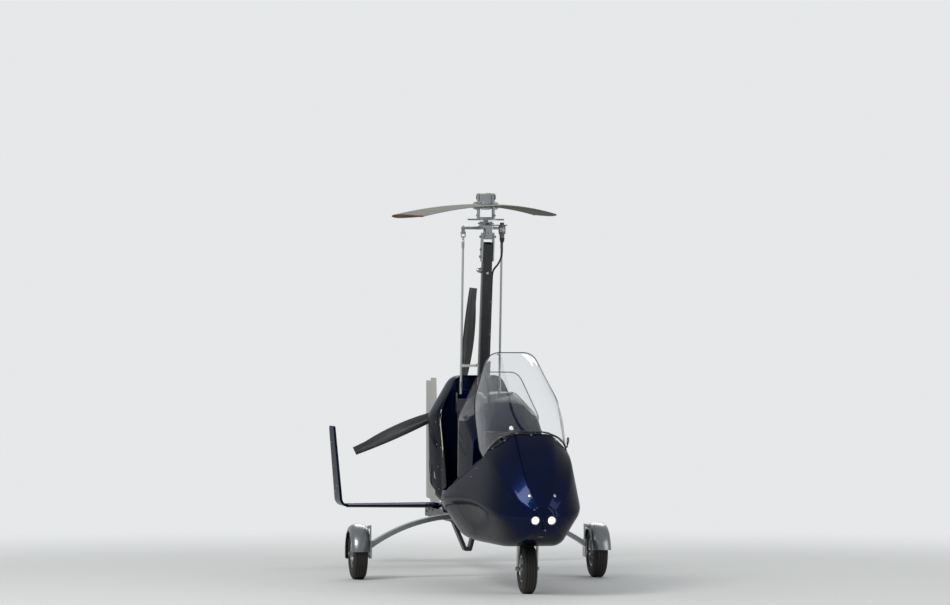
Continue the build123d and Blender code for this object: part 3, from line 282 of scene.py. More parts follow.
# Thermoformed acrylic: clear, slightly smoky at its edge.
ACRYLIC = Finish("clear_acrylic", "FBFCFC", "F3F6F6", Pattern.GLASS, 40.0, 0.0005, roughness=0.0, ior=1.49,
                 specular=0.3, slot="clear_screen")
# Pressed glass lens over a lit reflector.
LENS = Finish("pressed_glass_lens", "F4F6F2", "DADFE0", Pattern.LAMP, 3.0, 0.1, roughness=0.08, emission=0.9,
              slot="lamp")
# Painted aluminium tube of the control rods.
ROD = Finish("grey_painted_tube", "A9ADA8", "C3C6C1", Pattern.SMOOTH, 12.0, 0.004, roughness=0.4)
# Zinc-plated steel of bolts and clips.
ZINC = Finish("zinc_plated_steel", "A9A9A2", "8E8D80", Pattern.CAST, 0.8, 0.01, metallic=1.0, roughness=0.36)
# Glass fibre inner skin in dark grey gel coat.
GELCOAT = Finish("grey_gel_coat", "2C2E33", "3C3E42", Pattern.GRAIN, 2.5, 0.06, roughness=0.6)
# Heat-stained exhaust steel.
EXHAUST = Finish("heat_stained_steel", "6E675E", "4C4038", Pattern.BRUSHED, 2.0, 0.02, metallic=0.9, roughness=0.45,
                 slot="exhaust")

NODE_FINISH = {node: finish for finish, nodes in (
    (NAVY, "hull nose_hood fairing engine_cowl tailplane end_fin_right end_fin_left"),
    (LIGHT, "fin rudder"),
    (ACRYLIC, "windscreen_front windscreen_rear"),
    (SILVER, "gear_bow mudguard_right mudguard_left"),
    (STAINLESS, "axle_right axle_left control_levers nose_fork rod_joint_right rod_joint_left"),
    (ROD, "rod_right rod_left mast_arm"),
    (MACHINED, "mast_head gimbal_block head_bridge bearing_housing rotor_tower hub_bar rim_right rim_left rim_nose"),
    (CAST, "prerotator engine"),
    # painted shade: the rotor blades' dark olive tone stands partly for their shaded underside
    (SHADED_BLADE, "rotor_blade_front rotor_blade_rear"),
    (CARBON, "propeller"),
    (GELCOAT, "cockpit_tub"),
    (ABS, "instrument_panel wheel_well"),
    (EXHAUST, "muffler"),
    (CHROME, "landing_lamps"),
) for node in nodes.split()}


def clear() -> None:
    """Leaves edit mode and deselects everything."""
    if bpy.context.mode != "OBJECT":
        bpy.ops.object.mode_set(mode="OBJECT")
    bpy.ops.object.select_all(action="DESELECT")


def hold(piece: Piece) -> None:
    """Leaves edit mode with one piece selected and active."""
    clear()
    piece.select_set(True)
    bpy.context.view_layer.objects.active = piece


def linked(name: str, data: bpy.types.ID) -> Piece:
    """Makes an object of its data in the scene's collection."""
    made = bpy.data.objects.new(name, data)
    bpy.context.scene.collection.objects.link(made)
    return made


def edit(piece: Piece, mode: str = "VERT") -> None:
    """Opens one piece in edit mode with all of it selected.

    Args:
        piece: mesh object.
        mode: VERT, EDGE or FACE.
    """
    hold(piece)
    bpy.ops.object.mode_set(mode="EDIT")
    bpy.ops.mesh.select_mode(type=mode)
    bpy.ops.mesh.select_all(action="SELECT")


def pick(piece: Piece, test: Callable[[Vector, Vector], bool]) -> int:
    """Selects the faces of the piece in edit mode that pass a test.

    Args:
        piece: mesh object in edit mode.
        test: takes a face's middle and its normal.

    Returns:
        Number of faces selected.
    """
    bpy.ops.mesh.select_mode(type="FACE")
    bpy.ops.mesh.select_all(action="DESELECT")
    shape = bmesh.from_edit_mesh(piece.data)
    for face in shape.faces:
        face.select = test(face.calc_center_median(), face.normal)
    shape.select_flush(True)
    bmesh.update_edit_mesh(piece.data)
    return sum(face.select for face in shape.faces)


def aimed(at: Point, along: Point, roll: float = 0.0) -> Matrix:
    """Matrix that puts a piece's Z axis along a direction at a place."""
    turn = Vector(along).to_track_quat("Z", "Y").to_matrix().to_4x4()
    return Matrix.Translation(Vector(at)) @ turn @ Matrix.Rotation(roll, 4, "Z")


def turned(profile: Sequence[Point], segments: int = 24, closed: bool = False) -> Piece:
    """Turns a profile about Z: a circle is extruded and scaled from ring to ring.

    Args:
        profile: radius and height of each ring.
        segments: corners of each ring, 6 for a hexagon.
        closed: whether the profile runs round to its start, as on a tyre.

    Returns:
        The piece at the origin.
    """
    clear()
    bpy.ops.mesh.primitive_circle_add(vertices=segments, radius=profile[0][0],
                                      fill_type="NOTHING" if closed else "NGON")
    piece = bpy.context.object
    edit(piece)
    bpy.ops.transform.translate(value=(0, 0, profile[0][1]))
    for (r0, z0), (r1, z1) in zip(profile, list(profile[1:]) + ([profile[0]] if closed else [])):
        bpy.ops.mesh.extrude_region_move(TRANSFORM_OT_translate={"value": (0, 0, z1 - z0)})
        bpy.ops.transform.resize(value=(r1 / r0, r1 / r0, 1), center_override=(0, 0, z1))
    clear()
    return piece


def walled(piece: Piece, thickness: float, offset: float, even: bool = False) -> None:
    """Turns a sheet's faces outward and gives it a wall by an applied modifier.

    Args:
        piece: the open sheet.
        thickness: wall of the sheet.
        offset: -1 to grow inward, 0 to both sides.
        even: whether the wall keeps its thickness at corners.
    """
    edit(piece)
    bpy.ops.mesh.normals_make_consistent(inside=False)
    hold(piece)
    wall = piece.modifiers.new("wall", "SOLIDIFY")
    wall.thickness, wall.offset, wall.use_even_offset = thickness, offset, even
    bpy.ops.object.modifier_apply(modifier="wall")


def block(size: Point, bevel: float = 0.002, inset: float = 0.0) -> Piece:
    """Makes a block with rounded edges, and a sunk field on its top where inset is given.

    Args:
        size: width, depth and height.
        bevel: rounding of its edges.
        inset: margin of the sunk field.

    Returns:
        The piece at the origin.
    """
    clear()
    bpy.ops.mesh.primitive_cube_add(size=1, scale=size)
    piece = bpy.context.object
    bpy.ops.object.transform_apply(location=False, rotation=False, scale=True)
    edit(piece, "EDGE")
    bpy.ops.mesh.bevel(offset=bevel, segments=3, affect="EDGES")
    if inset:
        pick(piece, lambda c, n: n.z > 0.99 and c.z > size[2] * 0.49)
        bpy.ops.mesh.inset(thickness=inset)
        bpy.ops.mesh.extrude_region_move(TRANSFORM_OT_translate={"value": (0, 0, -size[2] * 0.25)})
    clear()
    return piece


def tube(points: Sequence[Point], radius: float, closed: bool = False) -> Piece:
    """Makes a round bead, hose or bent tube along a smooth line.

    Args:
        points: control points of the line.
        radius: radius of the tube.
        closed: whether the line runs round.

    Returns:
        A mesh whose ends are capped.
    """
    curve = bpy.data.curves.new("line", "CURVE")
    curve.dimensions = "3D"
    curve.resolution_u = 6
    curve.use_fill_caps = True
    line = curve.splines.new("NURBS")
    line.points.add(len(points) - 1)
    for knot, place in zip(line.points, points):
        knot.co = (*place, 1.0)
    line.order_u = 3
    line.use_endpoint_u = not closed
    line.use_cyclic_u = closed
    curve.bevel_depth = radius
    curve.bevel_resolution = 3
    hold(linked("line", curve))
    bpy.ops.object.convert(target="MESH")
    return bpy.context.object


def outline(points: Sequence[Point], thickness: float, bevel: float = 0.0) -> Piece:
    """Makes a plate from its outline in the XY plane, extruded up.

    Args:
        points: corners of the outline.
        thickness: height of the plate.
        bevel: rounding of its edges.

    Returns:
        The piece at the origin.
    """
    shape = bpy.data.meshes.new("plate")
    shape.from_pydata([(p[0], p[1], 0.0) for p in points], [], [tuple(range(len(points)))])
    piece = linked("plate", shape)
    edit(piece, "FACE")
    bpy.ops.mesh.extrude_region_move(TRANSFORM_OT_translate={"value": (0, 0, thickness)})
    if bevel:
        bpy.ops.mesh.select_all(action="SELECT")
        bpy.ops.mesh.bevel(offset=bevel, segments=2, affect="EDGES")
    clear()
    return piece


def placed(piece: Piece, *spots: Matrix) -> Piece:
    """Copies a piece to every spot, each copy with its own mesh, and joins them.

    Args:
        piece: the piece modelled once at the origin.
        spots: place and turn of each copy.

    Returns:
        One object that holds all copies, its place in its mesh.
    """
    clear()
    base = piece.matrix_world.copy()
    for spot in spots[1:]:
        twin = linked(piece.name, piece.data.copy())
        twin.matrix_world = spot @ base
        twin.select_set(True)
    piece.matrix_world = spots[0] @ base
    piece.select_set(True)
    bpy.context.view_layer.objects.active = piece
    if len(spots) > 1:
        bpy.ops.object.join()
    bpy.ops.object.transform_apply(location=True, rotation=True, scale=True)
    return piece


def joined(*parts: Piece) -> Piece:
    """Joins the parts of one piece into its first."""
    clear()
    for part in parts:
        part.select_set(True)
    bpy.context.view_layer.objects.active = parts[0]
    bpy.ops.object.join()
    return parts[0]


def settle(piece: Piece, name: str, finish: Finish, spots: Sequence[Matrix] = (), body: str = "airframe",
           smooth: float = 38.0, instead: Sequence[str] = ()) -> Piece:
    """Finishes a piece: its places go into its mesh, doubles are merged and faces turned outward.

    Args:
        piece: mesh object.
        name: its name.
        finish: its material.
        spots: places of its copies, where it was modelled at the origin.
        body: CAD body that it rides on, or nothing for a piece that rides on no body.
        smooth: angle in degrees up to which faces are shaded smooth.
        instead: CAD nodes that it stands for.

    Returns:
        The piece.
    """
    if spots:
        placed(piece, *spots)
    hold(piece)
    bpy.ops.object.transform_apply(location=True, rotation=True, scale=True)
    edit(piece)
    bpy.ops.mesh.remove_doubles(threshold=0.00002)
    bpy.ops.mesh.normals_make_consistent(inside=False)
    hold(piece)
    bpy.ops.object.shade_smooth_by_angle(angle=radians(smooth))
    piece.name = piece.data.name = name
    piece.data.materials.clear()
    piece.data.materials.append(finish.material())
    if body:
        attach(piece, body)
    if instead:
        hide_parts(*instead)
    LOG.info("piece %s rides on %s", name, body or "two bodies")
    return piece


def skin(node: str, start: Point, way: Point) -> tuple[Vector, Vector]:
    """Finds where a ray meets a CAD node.

    Args:
        node: name of the node.
        start: start of the ray.
        way: its direction.

    Returns:
        Place and outward normal; the start and the way reversed where nothing is met.
    """
    met, place, normal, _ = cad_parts[node].ray_cast(Vector(start), Vector(way).normalized())
    if not met:
        LOG.info("no skin of %s from %s", node, tuple(start))
        return Vector(start), -Vector(way).normalized()
    return place, normal if normal.dot(Vector(way)) < 0 else -normal


def outer_skin(node: str, side: int, places: Sequence[Pair]) -> list[tuple[Vector, Vector]]:
    """Finds the outer skin of a node, seen from one side.

    Args:
        node: name of the CAD node.
        side: -1 for starboard, 1 for port.
        places: station and height of each point.

    Returns:
        Place and outward normal of each point, without those that miss the skin.
    """
    found = [skin(node, (side * 1.2, y, z), (-side, 0, 0)) for y, z in places]
    return [(met, normal) for met, normal in found if abs(met.x) < 1.1]


def studs(node: str, side: int, places: Sequence[Pair]) -> list[Matrix]:
    """Places and turns of screws on a node's outer skin, seen from one side.

    Args:
        node: name of the CAD node.
        side: -1 for starboard, 1 for port.
        places: station and height of each screw.

    Returns:
        One matrix for each place where the skin is met.
    """
    return [aimed(met, normal) for met, normal in outer_skin(node, side, places)]


def flanks(x: float, *places: Pair, along: Triple = (1, 0, 0)) -> list[Matrix]:
    """Places to port and, mirrored, to starboard of the middle plane.

    Args:
        x: distance from the middle plane.
        places: station and height of each place.
        along: way of the piece's Z axis on the port side, outward if not given.

    Returns:
        One matrix for each place, those to starboard first.
    """
    return [aimed((side * x, y, z), (side * along[0], *along[1:])) for side in (-1, 1) for y, z in places]


def mirrored(route: Sequence[Point], radius: float) -> list[Piece]:
    """Makes a tube's mirror image to starboard and the tube itself to port."""
    return [tube([(side * x, y, z) for x, y, z in route], radius) for side in (-1, 1)]


def between(points: Sequence[Point], step: float) -> list[Vector]:
    """Divides a line of straight runs into points about a step apart."""
    found: list[Vector] = []
    for a, b in zip(points, points[1:]):
        start, stop = Vector(a), Vector(b)
        count = max(1, round((stop - start).length / step))
        found += [start.lerp(stop, k / count) for k in range(count)]
    return found + [Vector(points[-1])]


def hexagon_bolt(size: float) -> Piece:
    """Makes a hexagon bolt head on its washer, standing on Z 0, of a thread size in metres."""
    washer = turned([(size * 1.05, 0), (size * 1.1, size * 0.05), (size * 1.1, size * 0.16),
                     (size * 1.02, size * 0.2)], 20)
    head = turned([(size * 0.86, size * 0.19), (size * 0.92, size * 0.25), (size * 0.92, size * 0.72),
                   (size * 0.76, size * 0.84), (size * 0.4, size * 0.84)], 6)
    return joined(head, washer)


def screw_head(radius: float) -> Piece:
    """Makes a domed screw head with a socket, standing on Z 0."""
    return turned([(radius, 0), (radius, radius * 0.2), (radius * 0.86, radius * 0.5), (radius * 0.55, radius * 0.62),
                   (radius * 0.42, radius * 0.62), (radius * 0.38, radius * 0.3), (radius * 0.1, radius * 0.28)], 12)


@dataclass
class Studio:
    """Floor, lamps and the camera at the photograph's angle."""

    image: tuple[int, int] = (950, 605)
    focal_px: float = 4148.0
    camera_at: Triple = (-5.07, -29.04, 1.637)
    horizon_px: float = 350.0
    axle_y: float = 0.33
    axle_px: float = 478.0
    floor_colour: str = "D9D9D6"
    backdrop_colour: str = "E6E8EA"
    fade: Pair = (3.5, 9.0)

    def camera(self) -> None:
        """Places the camera: its view axis is turned and tilted by the image's own offsets."""
        data = bpy.data.cameras.new("camera")
        data.sensor_width = 36.0
        data.lens = self.focal_px / self.image[0] * data.sensor_width
        data.clip_end = 200.0
        aim = atan2(-self.camera_at[0], self.axle_y - self.camera_at[1])
        aim -= atan((self.axle_px - self.image[0] / 2) / self.focal_px)
        rise = atan((self.horizon_px - self.image[1] / 2) / self.focal_px)
        eye = linked("camera", data)
        eye.location = self.camera_at
        eye.rotation_euler = (pi / 2 + rise, 0.0, -aim)
        bpy.context.scene.camera = eye

    @staticmethod
    def sight(tree: bpy.types.NodeTree) -> bpy.types.NodeSocket:
        """Adds the share of rays that see the pale backdrop: straight from the camera or through glass."""
        paths = add_node(tree, "ShaderNodeLightPath")
        return add_node(tree, "ShaderNodeMath", {"operation": "MAXIMUM"},
                        {0: paths.outputs["Is Camera Ray"], 1: paths.outputs["Is Transmission Ray"]}).outputs[0]

    def floor(self) -> None:
        """Adds the plain pale floor, which fades into the backdrop away from the object."""
        bpy.ops.mesh.primitive_plane_add(size=400, location=(0, 0, 0))
        ground = bpy.context.object
        ground.name = "studio_floor"
        made = bpy.data.materials.new("matt_pale_floor")
        made.use_nodes = True
        tree = made.node_tree
        tree.nodes.clear()
        paint = add_node(tree, "ShaderNodeBsdfPrincipled", None,
                         {"Base Color": srgb(self.floor_colour), "Roughness": 0.95, "Specular IOR Level": 0.1})
        glow = add_node(tree, "ShaderNodeEmission", None, {"Color": srgb(self.backdrop_colour), "Strength": 1.0})
        place = add_node(tree, "ShaderNodeTexCoord").outputs["Object"]
        reach = add_node(tree, "ShaderNodeVectorMath", {"operation": "LENGTH"}, {0: place}).outputs["Value"]
        far = add_node(tree, "ShaderNodeMapRange", {"interpolation_type": "SMOOTHSTEP"},
                       {"Value": reach, "From Min": self.fade[0], "From Max": self.fade[1]}).outputs[0]
        shown = add_node(tree, "ShaderNodeMath", {"operation": "MULTIPLY"},
                         {0: far, 1: self.sight(tree)}).outputs[0]
        mixed = add_node(tree, "ShaderNodeMixShader", None,
                         {0: shown, 1: paint.outputs[0], 2: glow.outputs[0]})
        add_node(tree, "ShaderNodeOutputMaterial", None, {"Surface": mixed.outputs[0]})
        ground.data.materials.append(made)

    def light(self) -> None:
        """Sets the world and the lamps to a plain soft level."""
        world = bpy.data.worlds.new("studio")
        bpy.context.scene.world = world
        world.use_nodes = True
        tree = world.node_tree
        tree.nodes.clear()
        ambient = add_node(tree, "ShaderNodeBackground", None, {"Color": srgb("E9EEF4"), "Strength": 0.55})
        shown = add_node(tree, "ShaderNodeBackground", None,
                         {"Color": srgb(self.backdrop_colour), "Strength": 1.0})
        mixed = add_node(tree, "ShaderNodeMixShader", None,
                         {0: self.sight(tree), 1: ambient.outputs[0], 2: shown.outputs[0]})
        add_node(tree, "ShaderNodeOutputWorld", None, {"Surface": mixed.outputs[0]})
        for name, place, size, power in (("key", (-9, -9, 11), 6.0, 1250.0), ("fill", (10, -10, 6), 8.0, 420.0),
                                         ("back", (3, 12, 9), 8.0, 520.0)):
            data = bpy.data.lights.new(name, "AREA")
            data.size = size
            data.energy = power
            lamp = linked(name, data)
            lamp.location = place
            lamp.rotation_euler = (Vector((0, 0, 1)) - Vector(place)).to_track_quat("-Z", "Y").to_euler()

    def build(self) -> None:
        """Sets up the whole studio."""
        bpy.context.scene.view_settings.view_transform = "Standard"
        self.camera()
        self.floor()
        self.light()


@dataclass
class Wheels:
    """Ribbed tyres, rim bolts, lips, valves and axle nuts."""

    front_axle: Pair = (-1.61, 0.168)
    fork_x: float = 0.0702
    crown: Pair = (-1.635, 0.352)
    rib: float = 0.0045
    groove: Pair = (0.0042, 0.0028)

    def tyre(self, body: str, node: str, at: Point, radius: float, width: float, rim: float) -> None:
        """Builds one ribbed tyre in place of its node.

        Args:
            body: body of the wheel.
            node: CAD node of the tyre.
            at: middle of the wheel.
            radius, width, rim: sizes of the tyre and of its seat on the rim.
        """
        half, low = width / 2, radius - self.rib
        side = [(rim, -half * 0.72), (rim + 0.012, -half * 0.93), (rim + 0.02, -half * 0.99),
                (rim + 0.024, -half * 0.965), (rim + 0.042, -half), (radius - 0.034, -half * 0.985),
                (radius - 0.019, -half * 0.93), (radius - 0.008, -half * 0.8), (radius - 0.0015, -half * 0.64)]
        ribs: list[Point] = []
        top, foot = self.groove
        for edge in (half * 0.19 * k for k in (-3, -1, 1, 3)):
            ribs += [(radius, edge - top), (low, edge - foot), (low, edge + foot), (radius, edge + top)]
        other = [(r, -z) for r, z in reversed(side)]
        tyre = turned(side + ribs + other, 96, closed=True)
        settle(tyre, f"{node}_ribbed", RUBBER, [aimed(at, (1, 0, 0))], body, smooth=30, instead=(node,))

    def fittings(self, body: str, name: str, at: Point, half: float, rim: float, outer: Sequence[int]) -> None:
        """Adds rim bolts, the rim's rolled lips and the valve of one wheel.

        Args:
            body: body of the wheel.
            name: start of the pieces' names.
            at: middle of the wheel.
            half: half the width of the rim's hub.
            rim: radius of the rim.
            outer: sides, -1 or 1, that get bolts.
        """
        x, y, z = at
        circle = [(0.043 * cos(k * pi / 3 + 0.52), 0.043 * sin(k * pi / 3 + 0.52)) for k in range(6)]
        spots = [aimed((x + side * 0.006, y + dy, z + dz), (side, 0, 0)) for side in outer for dy, dz in circle]
        settle(hexagon_bolt(0.007), f"{name}_bolts", ZINC, spots, body)
        lip = turned([(rim - 0.011, 0), (rim - 0.009, 0.003), (rim - 0.002, 0.0036), (rim + 0.004, 0.002),
                      (rim + 0.004, -0.002), (rim - 0.01, -0.002)], 64, closed=True)
        settle(lip, f"{name}_lips", MACHINED, [aimed((x + side * half * 0.74, y, z), (side, 0, 0))
                                               for side in (-1, 1)], body)
        valve = turned([(0.0026, 0), (0.0026, 0.014), (0.0032, 0.015), (0.0032, 0.021), (0.0018, 0.022)], 12)
        settle(valve, f"{name}_valve", HOSE, [aimed((x + outer[0] * 0.013, y + 0.02, z + rim - 0.0165),
                                                    (outer[0] * 0.55, 0, -0.8))], body)

    def build(self) -> None:
        """Builds the three wheels' pieces."""
        x, y, z = MAIN_AXLE
        for side, name in SIDES:
            at = (side * x, y, z)
            self.tyre(f"main_wheel_{name}", f"tyre_{name}", at, 0.185, 0.104, 0.102)
            self.fittings(f"main_wheel_{name}", f"main_{name}", at, 0.052, 0.102, (side,))
            nut = aimed((side * (x + 0.0545), y, z), (side, 0, 0))
            settle(hexagon_bolt(0.015), f"axle_nut_{name}", ZINC, [nut])
        y, z = self.front_axle
        self.tyre("nose_wheel", "tyre_nose", (0, y, z), 0.168, 0.096, 0.088)
        self.fittings("nose_wheel", "nose", (0, y, z), 0.048, 0.088, (-1, 1))
        settle(hexagon_bolt(0.013), "nose_axle_nuts", ZINC, flanks(self.fork_x, (y, z)), "nose_fork")
        y, z = self.crown
        crown = flanks(self.fork_x, (y - 0.014, z), (y + 0.014, z))
        settle(screw_head(0.0045), "fork_crown_screws", ZINC, crown, "nose_fork")


@dataclass
class Mudguards:
    """Moulded mudguards, domed across, with rolled edges, stay bolts and screws."""

    radius: float = 0.2105
    half: float = 0.069
    skirt: float = 0.164
    front_deg: float = 5.0
    rear_deg: float = 194.0
    wall: float = 0.0026
    turn_in: float = 0.008
    roundness: float = 0.92

    def shell(self, side: int, name: str) -> None:
        """Builds one guard: its round section is spun over the tyre and given its wall.

        Args:
            side: -1 for starboard, 1 for port.
            name: right or left.
        """
        x, y, z = side * MAIN_AXLE[0], *MAIN_AXLE[1:]
        section = [(x - self.half, self.skirt)]
        for k in range(17):
            a = pi - pi * k / 16
            round_x = abs(cos(a)) ** self.roundness * (1 if cos(a) > 0 else -1)
            round_r = (self.radius - self.skirt - self.turn_in) * abs(sin(a)) ** self.roundness
            section.append((x + self.half * round_x, self.skirt + self.turn_in + round_r))
        section.append((x + self.half, self.skirt))
        start = radians(self.front_deg)
        shape = bpy.data.meshes.new("guard")
        shape.from_pydata([(px, y - r * cos(start), z + r * sin(start)) for px, r in section],
                          [(k, k + 1) for k in range(len(section) - 1)], [])
        piece = linked("guard", shape)
        edit(piece, "EDGE")
        bpy.ops.mesh.spin(steps=44, angle=radians(self.rear_deg - self.front_deg), center=(x, y, z), axis=(1, 0, 0))
        edit(piece)
        bpy.ops.mesh.remove_doubles(threshold=0.0001)
        walled(piece, self.wall, -1.0)
        settle(piece, f"mudguard_{name}_shell", SILVER, smooth=50, instead=(f"mudguard_{name}",))

    def build(self) -> None:
        """Builds the pieces of both guards."""
        for side, name in SIDES:
            self.shell(side, name)
            x, y, z = side * MAIN_AXLE[0], *MAIN_AXLE[1:]
            arc = [radians(self.front_deg + (self.rear_deg - self.front_deg) * k / 24) for k in range(25)]
            beads = []
            for edge in (-1, 1):
                line = [(x + edge * self.half, y - self.skirt * cos(a), z + self.skirt * sin(a)) for a in arc]
                beads.append(tube(line, 0.003))
            settle(joined(*beads), f"mudguard_edges_{name}", SILVER)
            low = self.skirt + 0.0065
            spots = [aimed((x + side * self.half, y - low * cos(a), z + low * sin(a)), (side, 0, 0))
                     for a in (radians(t) for t in (12, 50, 90, 130, 168))]
            settle(screw_head(0.005), f"mudguard_screws_{name}", ZINC, spots)
            bolt = aimed((x - side * (self.half + 0.001), y, 0.372), (-side, 0, 0))
            settle(hexagon_bolt(0.006), f"mudguard_stay_bolt_{name}", ZINC, [bolt])


@dataclass
class BodyTrim:
    """Edge trims, seams, screws and lamps of the body shell."""

    sill: tuple[Point, ...] = ((-1.5, 0.894), (-1.1, 0.78), (-0.91, 0.727))
    rear_sill: tuple[Point, ...] = ((-0.42, 0.661), (-0.25, 0.657), (0.06, 0.665), (0.176, 0.717), (0.232, 0.861),
                                    (0.26, 1.045))

    def sills(self) -> None:
        """Adds the rubber edging of both cockpits."""
        for side, name in SIDES:
            lines = []
            for run in (self.sill, self.rear_sill):
                route = outer_skin("hull", side, [(p.x, p.y - 0.005) for p in between([(*q, 0.0) for q in run], 0.07)])
                lines.append(tube([(p.x - side * 0.0025, p.y, p.z + 0.004) for p, _ in route], 0.0062))
            settle(joined(*lines), f"sill_trim_{name}", TRIM)

    @staticmethod
    def sheet(node: str, rows: Sequence[Pair], wall: float) -> list[list[Vector]]:
        """Replaces a screen by a smooth blown sheet over the same stations.

        Args:
            node: CAD node of the screen.
            rows: station and height of its free edge, from front to rear.
            wall: thickness of the sheet.

        Returns:
            The rows of points, each from starboard edge to port edge.
        """
        columns = 48
        grid = []
        for y, z in rows:
            row = []
            for k in range(columns + 1):
                angle = radians(-90 + 180 * k / columns)
                row.append(skin(node, (0, y, z + 0.002), (sin(angle), 0, cos(angle)))[0])
            grid.append(row)
        shape = bpy.data.meshes.new(node)
        points = [p for row in grid for p in row]
        wide = columns + 1
        faces = [(a * wide + b, a * wide + b + 1, (a + 1) * wide + b + 1, (a + 1) * wide + b)
                 for a in range(len(rows) - 1) for b in range(columns)]
        shape.from_pydata(points, [], faces)
        piece = linked(node, shape)
        edit(piece)
        flesh = bmesh.from_edit_mesh(shape)
        for vertex in flesh.verts:
            vertex.select = not vertex.is_boundary
        flesh.select_flush_mode()
        bmesh.update_edit_mesh(shape)
        bpy.ops.mesh.vertices_smooth(factor=0.5, repeat=14)
        walled(piece, wall, 0.0, even=True)
        settle(piece, f"{node}_sheet", ACRYLIC, smooth=50, instead=(node,))
        return grid

    def screens(self) -> None:
        """Builds both screens with their beads and foot screws."""
        foot = [(-1.754, 1.0765), (-1.725, 1.0525), (-1.69, 1.0238), (-1.65, 0.991), (-1.6, 0.9505), (-1.57, 0.926)]
        free = [(p.x, p.y) for p in between([(-1.55, 0.9105, 0), (-1.44, 0.962, 0), (-1.25, 1.202, 0),
                                             (-1.05, 1.482, 0), (-1.008, 1.552, 0)], 0.028)]
        grid = self.sheet("windscreen_front", foot + free, 0.003)
        for edge, name in ((0, "right"), (-1, "left")):
            settle(tube([row[edge] for row in grid[len(foot) - 1:]], 0.0038), f"windscreen_bead_{name}", TRIM)
        settle(tube(grid[-1], 0.0042), "windscreen_rim", TRIM)
        sides = grid[:len(foot) + 1]
        seal = [row[0] for row in reversed(sides)] + grid[0][1:-1:4] + [row[-1] for row in sides]
        settle(tube(seal, 0.0036), "windscreen_seal", TRIM)
        spots = []
        for row, column in ((5, 0), (3, 0), (1, 0), (0, 24), (1, -1), (3, -1), (5, -1)):
            place = grid[row][column]
            outward = Vector((place.x, -0.05, 0.12)).normalized()
            start = Vector(place) + outward * 0.2 - Vector((0, 0.016, 0.012))
            met, normal = skin("nose_hood", start, -outward)
            if met != start:
                spots.append(aimed(met, normal))
        settle(screw_head(0.0062), "windscreen_screws", ZINC, spots)
        loop = [(0.3, -1.47, 0.955), (0.318, -1.5, 0.99), (0.322, -1.53, 1.03), (0.31, -1.56, 1.05),
                (0.298, -1.58, 1.03), (0.303, -1.57, 0.98)]
        settle(tube([(x - 0.02, y, z) for x, y, z in loop], 0.004), "screen_strap_left", TRIM)
        rows = [(-0.683 + 0.0285 * k, 1.1435) for k in range(7)]
        grid = self.sheet("windscreen_rear", rows, 0.0026)
        settle(tube(grid[-1], 0.004), "rear_screen_rim", TRIM)
        screws = []
        for column in (2, 7, 14, 20, 28, 34, 41, 46):
            place = grid[1][column]
            outward = Vector((place.x, 0, place.z - 1.0)).normalized()
            screws.append(aimed(place + outward * 0.0015, outward))
        settle(screw_head(0.006), "rear_screen_screws", ZINC, screws)

    def edges(self) -> None:
        """Adds cream tubes along the fairing's rear edge and the hull's rear arch, a painted highlight of their sunlit
        edges.
        """
        line = []
        for k in range(33):
            angle = radians(-118 + 236 * k / 32)
            met = skin("fairing", (0.0, -0.4325, 0.9), (sin(angle), 0, cos(angle)))[0]
            line.append((met.x * 0.998, -0.43, met.z))
        # painted highlight: cream tube for the fairing's sunlit rear edge
        settle(tube(line, 0.0052), "fairing_rear_edge_highlight", CREAM_HIGHLIGHT)
        arch = []
        for side in (-1, 1):
            route = outer_skin("hull", side, [(0.2355, 0.87), (0.249, 0.94), (0.264, 1.04), (0.275, 1.09),
                                              (0.284, 1.14), (0.297, 1.21)])
            arch.append(tube([p for p, _ in route], 0.0044))
        # painted highlight: cream tubes for the lit edges of the hull's rear arch
        settle(joined(*arch), "rear_arch_edge_highlight", CREAM_HIGHLIGHT)

    def fasteners(self) -> None:
        """Adds the hood's quarter-turn fasteners, the seam screws and the cowl's screws."""
        spots = []
        for side in (-1, 1):
            met, normal = skin("nose_hood", (side * 0.084, -3.0, 0.676), (0, 1, 0))
            spots.append(aimed(met, normal))
        stud = turned([(0.011, 0), (0.011, 0.0015), (0.0095, 0.0026), (0.006, 0.0026), (0.0055, 0.0016),
                       (0.001, 0.0016)], 20)
        settle(stud, "hood_fasteners", ZINC, spots)
        spots = []
        for side in (-1, 1):
            spots += studs("hull", side, ((-1.47, 0.84), (-1.36, 0.78), (-0.7, 0.61), (0.0, 0.6), (0.28, 0.62),
                                          (0.295, 0.78), (0.295, 0.94), (0.295, 1.1), (0.29, 0.5)))
            spots += studs("engine_cowl", side, ((0.365, 0.64), (0.365, 0.8), (0.365, 0.96), (0.365, 1.12),
                                                 (0.86, 0.78), (0.86, 0.95), (0.86, 1.1)))
        settle(screw_head(0.0052), "shell_screws", ZINC, spots)

    def panels(self) -> None:
        """Adds the dark seal in the shell's vertical seams and the filler cap behind the rear seat."""
        lines = []
        for side in (-1, 1):
            route = outer_skin("hull", side, [(-1.06 + 0.02 * (0.72 - z), z)
                                              for z in (0.735, 0.7, 0.66, 0.62, 0.58, 0.54, 0.5, 0.46)])
            lines.append(tube([(p.x - side * 0.0012, p.y, p.z) for p, _ in route], 0.0022))
        settle(joined(*lines), "shell_seams", TRIM)
        met, normal = skin("hull", (-1.2, 0.14, 0.62), (1, 0, 0))
        cap = turned([(0.036, -0.002), (0.037, 0.003), (0.034, 0.006), (0.03, 0.0065), (0.028, 0.005), (0.02, 0.005),
                      (0.018, 0.009), (0.001, 0.0095)], 36)
        settle(cap, "filler_cap", ABS, [aimed(met, normal)])

